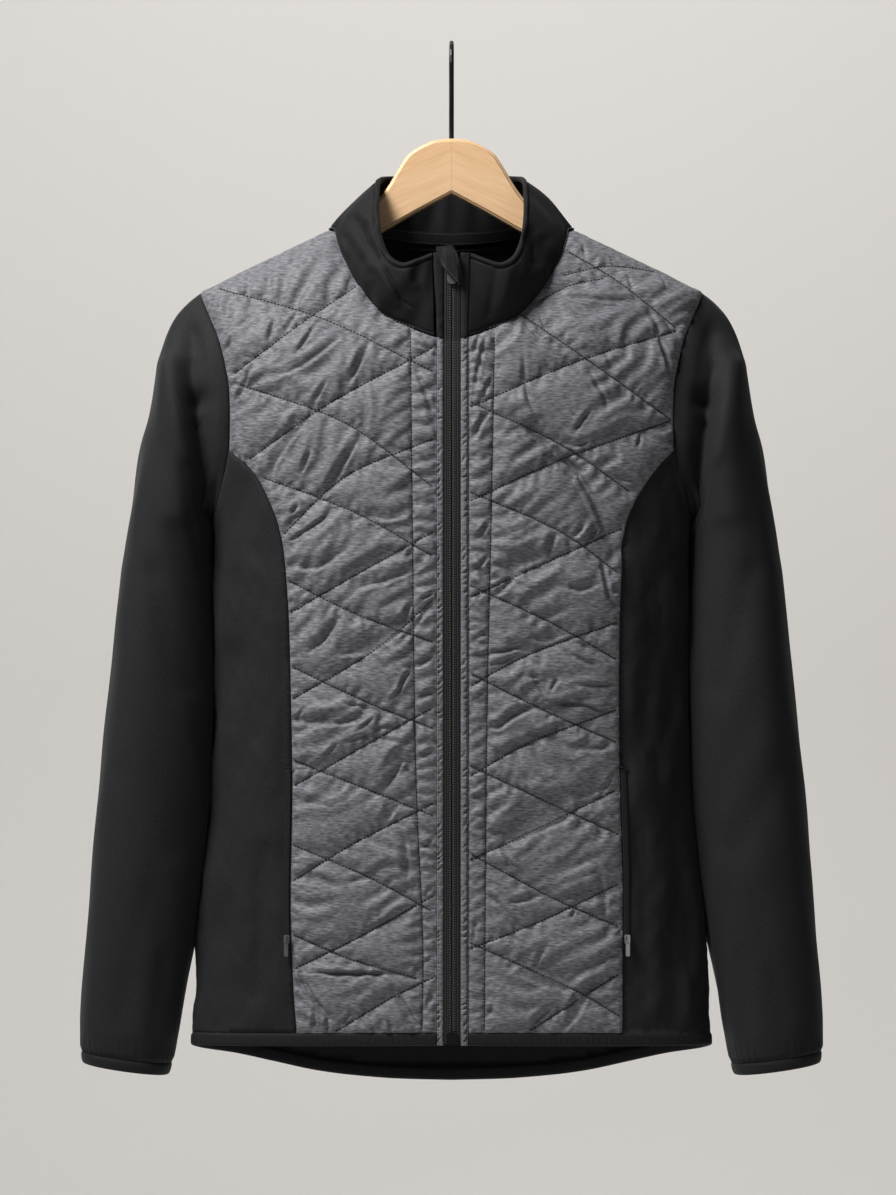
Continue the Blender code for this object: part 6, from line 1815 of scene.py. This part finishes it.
# Each metal: its colour, roughness and how metallic it is.
METALS = {
    "painted_metal": ((0.07, 0.07, 0.069), 0.42, 0.0),
    "black_metal": ((0.012, 0.012, 0.013), 0.38, 0.7),
    "steel": ((0.4, 0.4, 0.41), 0.3, 1.0),
}
# Each solid that shows as it is: its finish and its slot in the record.
HARD_NODES = {
    "hanger_hook": ("black_metal", "black_metal"), "zip_slider": ("painted_metal", "black_metal"),
    "zip_bottom_box": ("black_metal", "black_metal"),
    "pocket_slider_left": ("steel", "steel"), "pocket_slider_right": ("steel", "steel"),
    "pocket_pull_left": ("steel", "steel"), "pocket_pull_right": ("steel", "steel"),
}


def shader_of(name, colour, roughness, **inputs):
    """A new material with its node tree and its shader, whose inputs are set on its own sockets."""
    made = bpy.data.materials.new(name)
    made.use_nodes = True
    shader = made.node_tree.nodes["Principled BSDF"]
    shader.inputs["Base Color"].default_value = (*colour, 1)
    shader.inputs["Roughness"].default_value = roughness
    for key, value in inputs.items():
        shader.inputs[key.replace("_", " ")].default_value = value
    made.diffuse_color = (*colour, 1)
    return made, made.node_tree, shader


def node(tree, kind, links=(), **settings):
    """A new node, its inputs led from sockets, and its settings and other inputs set."""
    made = tree.nodes.new(kind)
    for key, value in settings.items():
        if hasattr(made, key):
            setattr(made, key, value)
        else:
            made.inputs[key.replace("_", " ")].default_value = value
    for source, target in links:
        tree.links.new(source, made.inputs[target])
    return made


def maths(tree, operation, *values):
    """A math node over sockets and plain numbers."""
    links = [(value, k) for k, value in enumerate(values) if not isinstance(value, float)]
    made = node(tree, "ShaderNodeMath", links, operation=operation)
    for k, value in enumerate(values):
        if isinstance(value, float):
            made.inputs[k].default_value = value
    return made.outputs[0]


def ramp(tree, source, stops):
    """Colours by the source's value, from (value, colour) pairs."""
    made = node(tree, "ShaderNodeValToRGB", [(source, "Fac")])
    elements = made.color_ramp.elements
    while len(elements) < len(stops):
        elements.new(0.5)
    for element, (place, colour) in zip(elements, stops):
        element.position = place
        element.color = (*colour, 1)
    return made.outputs[0]


def coordinates(tree, source):
    """The texture coordinates: the cloth's own, in metres, or the object's."""
    return node(tree, "ShaderNodeTexCoord").outputs[source]


def mapped(tree, vector, **settings):
    return node(tree, "ShaderNodeMapping", [(vector, "Vector")], **settings).outputs[0]


def noise(tree, vector, **settings):
    return node(tree, "ShaderNodeTexNoise", [(vector, "Vector")], **settings).outputs[0]


def wave_bands(tree, vector, **settings):
    return node(tree, "ShaderNodeTexWave", [(vector, "Vector")], **settings).outputs[1]


def cloth_noise(tree, scale, stretch, detail=3.0, source="UV"):
    """Noise over the cloth's own plane, in metres, drawn out by stretch."""
    return noise(tree, mapped(tree, coordinates(tree, source), Scale=stretch), Scale=scale, Detail=detail)


def lead_in(tree, shader, colour, height=None, strength=0.0):
    """Leads the colour, and a bump from the height, into the shader."""
    tree.links.new(colour, shader.inputs["Base Color"])
    if height:
        bump = node(tree, "ShaderNodeBump", [(height, "Height")], Strength=strength, Distance=BUMP_DISTANCE)
        tree.links.new(bump.outputs[0], shader.inputs["Normal"])


def quilted_shell_finish():
    """Smooth knit in two mixed greys: fine level flecks over a soft sheen."""
    made, tree, shader = shader_of("quilted_shell", (0.09, 0.093, 0.105), 0.6, Specular_IOR_Level=0.3,
                                   Sheen_Weight=0.06, Sheen_Roughness=0.4)
    flecks = cloth_noise(tree, 1150, (0.15, 0.92, 1), 2.0)
    broad = cloth_noise(tree, 480, (0.38, 1.35, 1), 3.0)
    mixed = maths(tree, "MULTIPLY", maths(tree, "ADD", flecks, broad), 0.5)
    colour = ramp(tree, mixed, ((0.35, (0.054, 0.056, 0.065)), (0.5, (0.125, 0.127, 0.142)),
                                (0.67, (0.222, 0.225, 0.245))))
    lead_in(tree, shader, colour, flecks, 0.12)
    return made


def knit_finish(name, colour, pale, roughness, wale, strength, sheen):
    """Plain knit: fine upright wales and a little fluff."""
    made, tree, shader = shader_of(name, colour, roughness, Specular_IOR_Level=0.22, Sheen_Weight=sheen,
                                   Sheen_Roughness=0.5)
    fluff = cloth_noise(tree, 700, (1.0, 0.6, 1), 3.0)
    wales = wave_bands(tree, coordinates(tree, "UV"), bands_direction="X", Scale=wale, Distortion=0.4,
                       Detail=1.0)
    mixed = ramp(tree, fluff, ((0.35, colour), (0.68, pale)))
    lead_in(tree, shader, mixed, maths(tree, "ADD", wales, fluff), strength)
    return made


def woven_tape_finish():
    """Close woven tape: rows and columns of small pale dots."""
    made, tree, shader = shader_of("zip_tape", (0.014, 0.014, 0.014), 0.7, Specular_IOR_Level=0.22)
    place = coordinates(tree, "UV")
    ribs, rows = (wave_bands(tree, place, bands_direction=way, Scale=TAPE_DOTS) for way in "XY")
    dots = maths(tree, "MULTIPLY", ribs, rows)
    colour = ramp(tree, dots, ((0.15, (0.0055, 0.0055, 0.0056)), (0.85, (0.046, 0.046, 0.045))))
    lead_in(tree, shader, colour, dots, 0.3)
    return made


def wood_finish():
    """Pale straight-grained wood, its grain mirrored about the middle joint."""
    made, tree, shader = shader_of("wood", (0.72, 0.46, 0.25), 0.45, Coat_Weight=0.15, Coat_Roughness=0.3)
    x, y, z = node(tree, "ShaderNodeSeparateXYZ", [(coordinates(tree, "Object"), "Vector")]).outputs
    out = maths(tree, "ABSOLUTE", x)
    joined = node(tree, "ShaderNodeCombineXYZ", [(out, "X"), (y, "Y"), (z, "Z")])
    sloping = mapped(tree, joined.outputs[0], Rotation=(0, math.radians(-WOOD_SLOPE), 0))
    turned = mapped(tree, sloping, Scale=(0.08, 1.0, 2.2))
    grain = noise(tree, turned, Scale=70, Detail=4, Distortion=0.2)
    fine = noise(tree, turned, Scale=620, Detail=2)
    both = maths(tree, "MULTIPLY", maths(tree, "ADD", grain, fine), 0.5)
    colour = ramp(tree, both, ((0.36, (0.655, 0.405, 0.215)), (0.5, (0.715, 0.465, 0.260)),
                               (0.64, (0.765, 0.515, 0.305))))
    joint = maths(tree, "MULTIPLY", maths(tree, "LESS_THAN", out, JOINT_HALF_WIDTH), 0.35)
    mixed = node(tree, "ShaderNodeMix", data_type="RGBA")
    tree.links.new(joint, mixed.inputs["Factor"])
    tree.links.new(colour, mixed.inputs[6])
    mixed.inputs[7].default_value = (0.42, 0.24, 0.11, 1)
    lead_in(tree, shader, mixed.outputs[2])
    return made


def metal_finish(name, colour, roughness, metallic):
    """Metal with faint uneven wear."""
    made, tree, shader = shader_of(name, colour, roughness, Metallic=metallic)
    wear = cloth_noise(tree, 300, (1, 1, 1), 3.0, "Object")
    rough = node(tree, "ShaderNodeMapRange", [(wear, "Value")], To_Min=roughness * 0.8,
                 To_Max=roughness * 1.25)
    tree.links.new(rough.outputs[0], shader.inputs["Roughness"])
    return made


def make_finishes():
    """Every finish by its name."""
    made = {"quilted_shell": quilted_shell_finish(), "zip_tape": woven_tape_finish(), "wood": wood_finish()}
    made |= {name: knit_finish(name, *values) for name, values in KNITS.items()}
    return made | {name: metal_finish(name, *values) for name, values in METALS.items()}


def finish_hard_nodes(frame, finishes):
    """Gives the solids that show as they are their finishes."""
    for name, (finish, slot) in HARD_NODES.items():
        mesh = frame["nodes"][name].data
        mesh.materials.clear()
        mesh.materials.append(finishes[finish])


# ---------------------------------------------------------------- room, light and camera

# In metres: the floor, the wall behind, the bend between them, and the floor's reach to the front and sides.
FLOOR_Z, WALL_Y, WALL_TOP, BEND, FLOOR_FRONT, FLOOR_SIDE = -1.62, 5.0, 5.0, 1.0, -6.0, 9
# The picture's height and middle in metres at the jacket's front, where that lies, and the camera's distance
# from it.
VIEW_HEIGHT, VIEW_MIDDLE, FRONT_Y, VIEW_AWAY = 0.956, (-0.0028, -0.449), -0.06, 3.6
SENSOR = 24.0
LIT_MIDDLE = (0, 0, -0.45)


def make_room():
    """A plain pale floor that bends up into a plain pale backdrop."""
    made = shader_of("backdrop", (0.70, 0.68, 0.66), 0.9)[0]
    turns = [math.radians(90 * k / 12) for k in range(13)]
    curve = [(WALL_Y - BEND + BEND * math.sin(turn), FLOOR_Z + BEND - BEND * math.cos(turn))
             for turn in turns]
    profile = [(FLOOR_FRONT, FLOOR_Z), *curve, (WALL_Y, WALL_TOP)]
    rows = [[(-FLOOR_SIDE, y, z), (FLOOR_SIDE, y, z)] for y, z in profile]
    grid = np.array(rows).reshape(-1, 3)
    mesh = bpy.data.meshes.new("backdrop")
    mesh.from_pydata(grid.tolist(), [], grid_faces(len(rows), 2).tolist())
    mesh.shade_smooth()
    mesh.materials.append(made)
    floor = bpy.data.objects.new("backdrop", mesh)
    bpy.context.scene.collection.objects.link(floor)


def lamp(name, place, aim, size, power, colour=(1, 1, 1)):
    """A soft rectangular lamp that the camera doesn't see."""
    data = bpy.data.lights.new(name, "AREA")
    data.shape = "RECTANGLE"
    data.size, data.size_y = size
    data.energy = power
    data.color = colour
    made = bpy.data.objects.new(name, data)
    made.location = place
    made.rotation_euler = (Vector(aim) - Vector(place)).to_track_quat("-Z", "Y").to_euler()
    made.visible_camera = False
    bpy.context.scene.collection.objects.link(made)


def make_light():
    """A large soft key lamp, a weak fill, one for the backdrop and one for the views from behind."""
    world = bpy.data.worlds.new("room")
    world.use_nodes = True
    sky = world.node_tree.nodes["Background"]
    sky.inputs["Color"].default_value = (1.0, 0.985, 0.97, 1)
    sky.inputs["Strength"].default_value = 0.07
    bpy.context.scene.world = world
    bpy.context.scene.view_settings.view_transform = "Standard"
    lamp("key", (-1.3, -1.15, 1.55), LIT_MIDDLE, (0.95, 0.95), 118, (1.0, 0.985, 0.965))
    lamp("fill", (2.0, -3.2, -0.1), LIT_MIDDLE, (1.8, 1.8), 8.5)
    lamp("backdrop", (0.0, 1.9, 2.6), (0, 5.0, -0.6), (3.6, 1.4), 118)
    lamp("behind", (-1.5, 3.3, 0.5), LIT_MIDDLE, (1.8, 1.8), 26)


def make_camera():
    """The camera, square to the front and level with the jacket's middle."""
    data = bpy.data.cameras.new("camera")
    data.sensor_fit = "VERTICAL"
    data.sensor_height = SENSOR
    data.lens = SENSOR * VIEW_AWAY / VIEW_HEIGHT
    data.clip_end = 50
    made = bpy.data.objects.new("camera", data)
    made.location = (VIEW_MIDDLE[0], FRONT_Y - VIEW_AWAY, VIEW_MIDDLE[1])
    made.rotation_euler = (math.radians(90), 0, 0)
    bpy.context.scene.collection.objects.link(made)
    bpy.context.scene.camera = made


# ---------------------------------------------------------------- the whole

def main():
    for thing in list(bpy.data.objects):
        bpy.data.objects.remove(thing, do_unlink=True)
    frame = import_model()
    finishes = make_finishes()
    quilting = {side: make_front(side, name, finishes) for side, name in SIDES}
    make_jersey(finishes)
    make_sleeves(finishes)
    make_collar(finishes)
    far, normals = make_neck_tape(finishes)
    make_centre_front(finishes)
    make_zip_chain(finishes)
    make_garage(finishes)
    make_hem_binding(finishes)
    make_pocket_tapes(finishes)
    make_stitches(finishes, quilting)
    make_neck_stitches(finishes, far, normals)
    make_hanger(finishes)
    finish_hard_nodes(frame, finishes)
    make_room()
    make_light()
    make_camera()
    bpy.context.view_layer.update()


main()
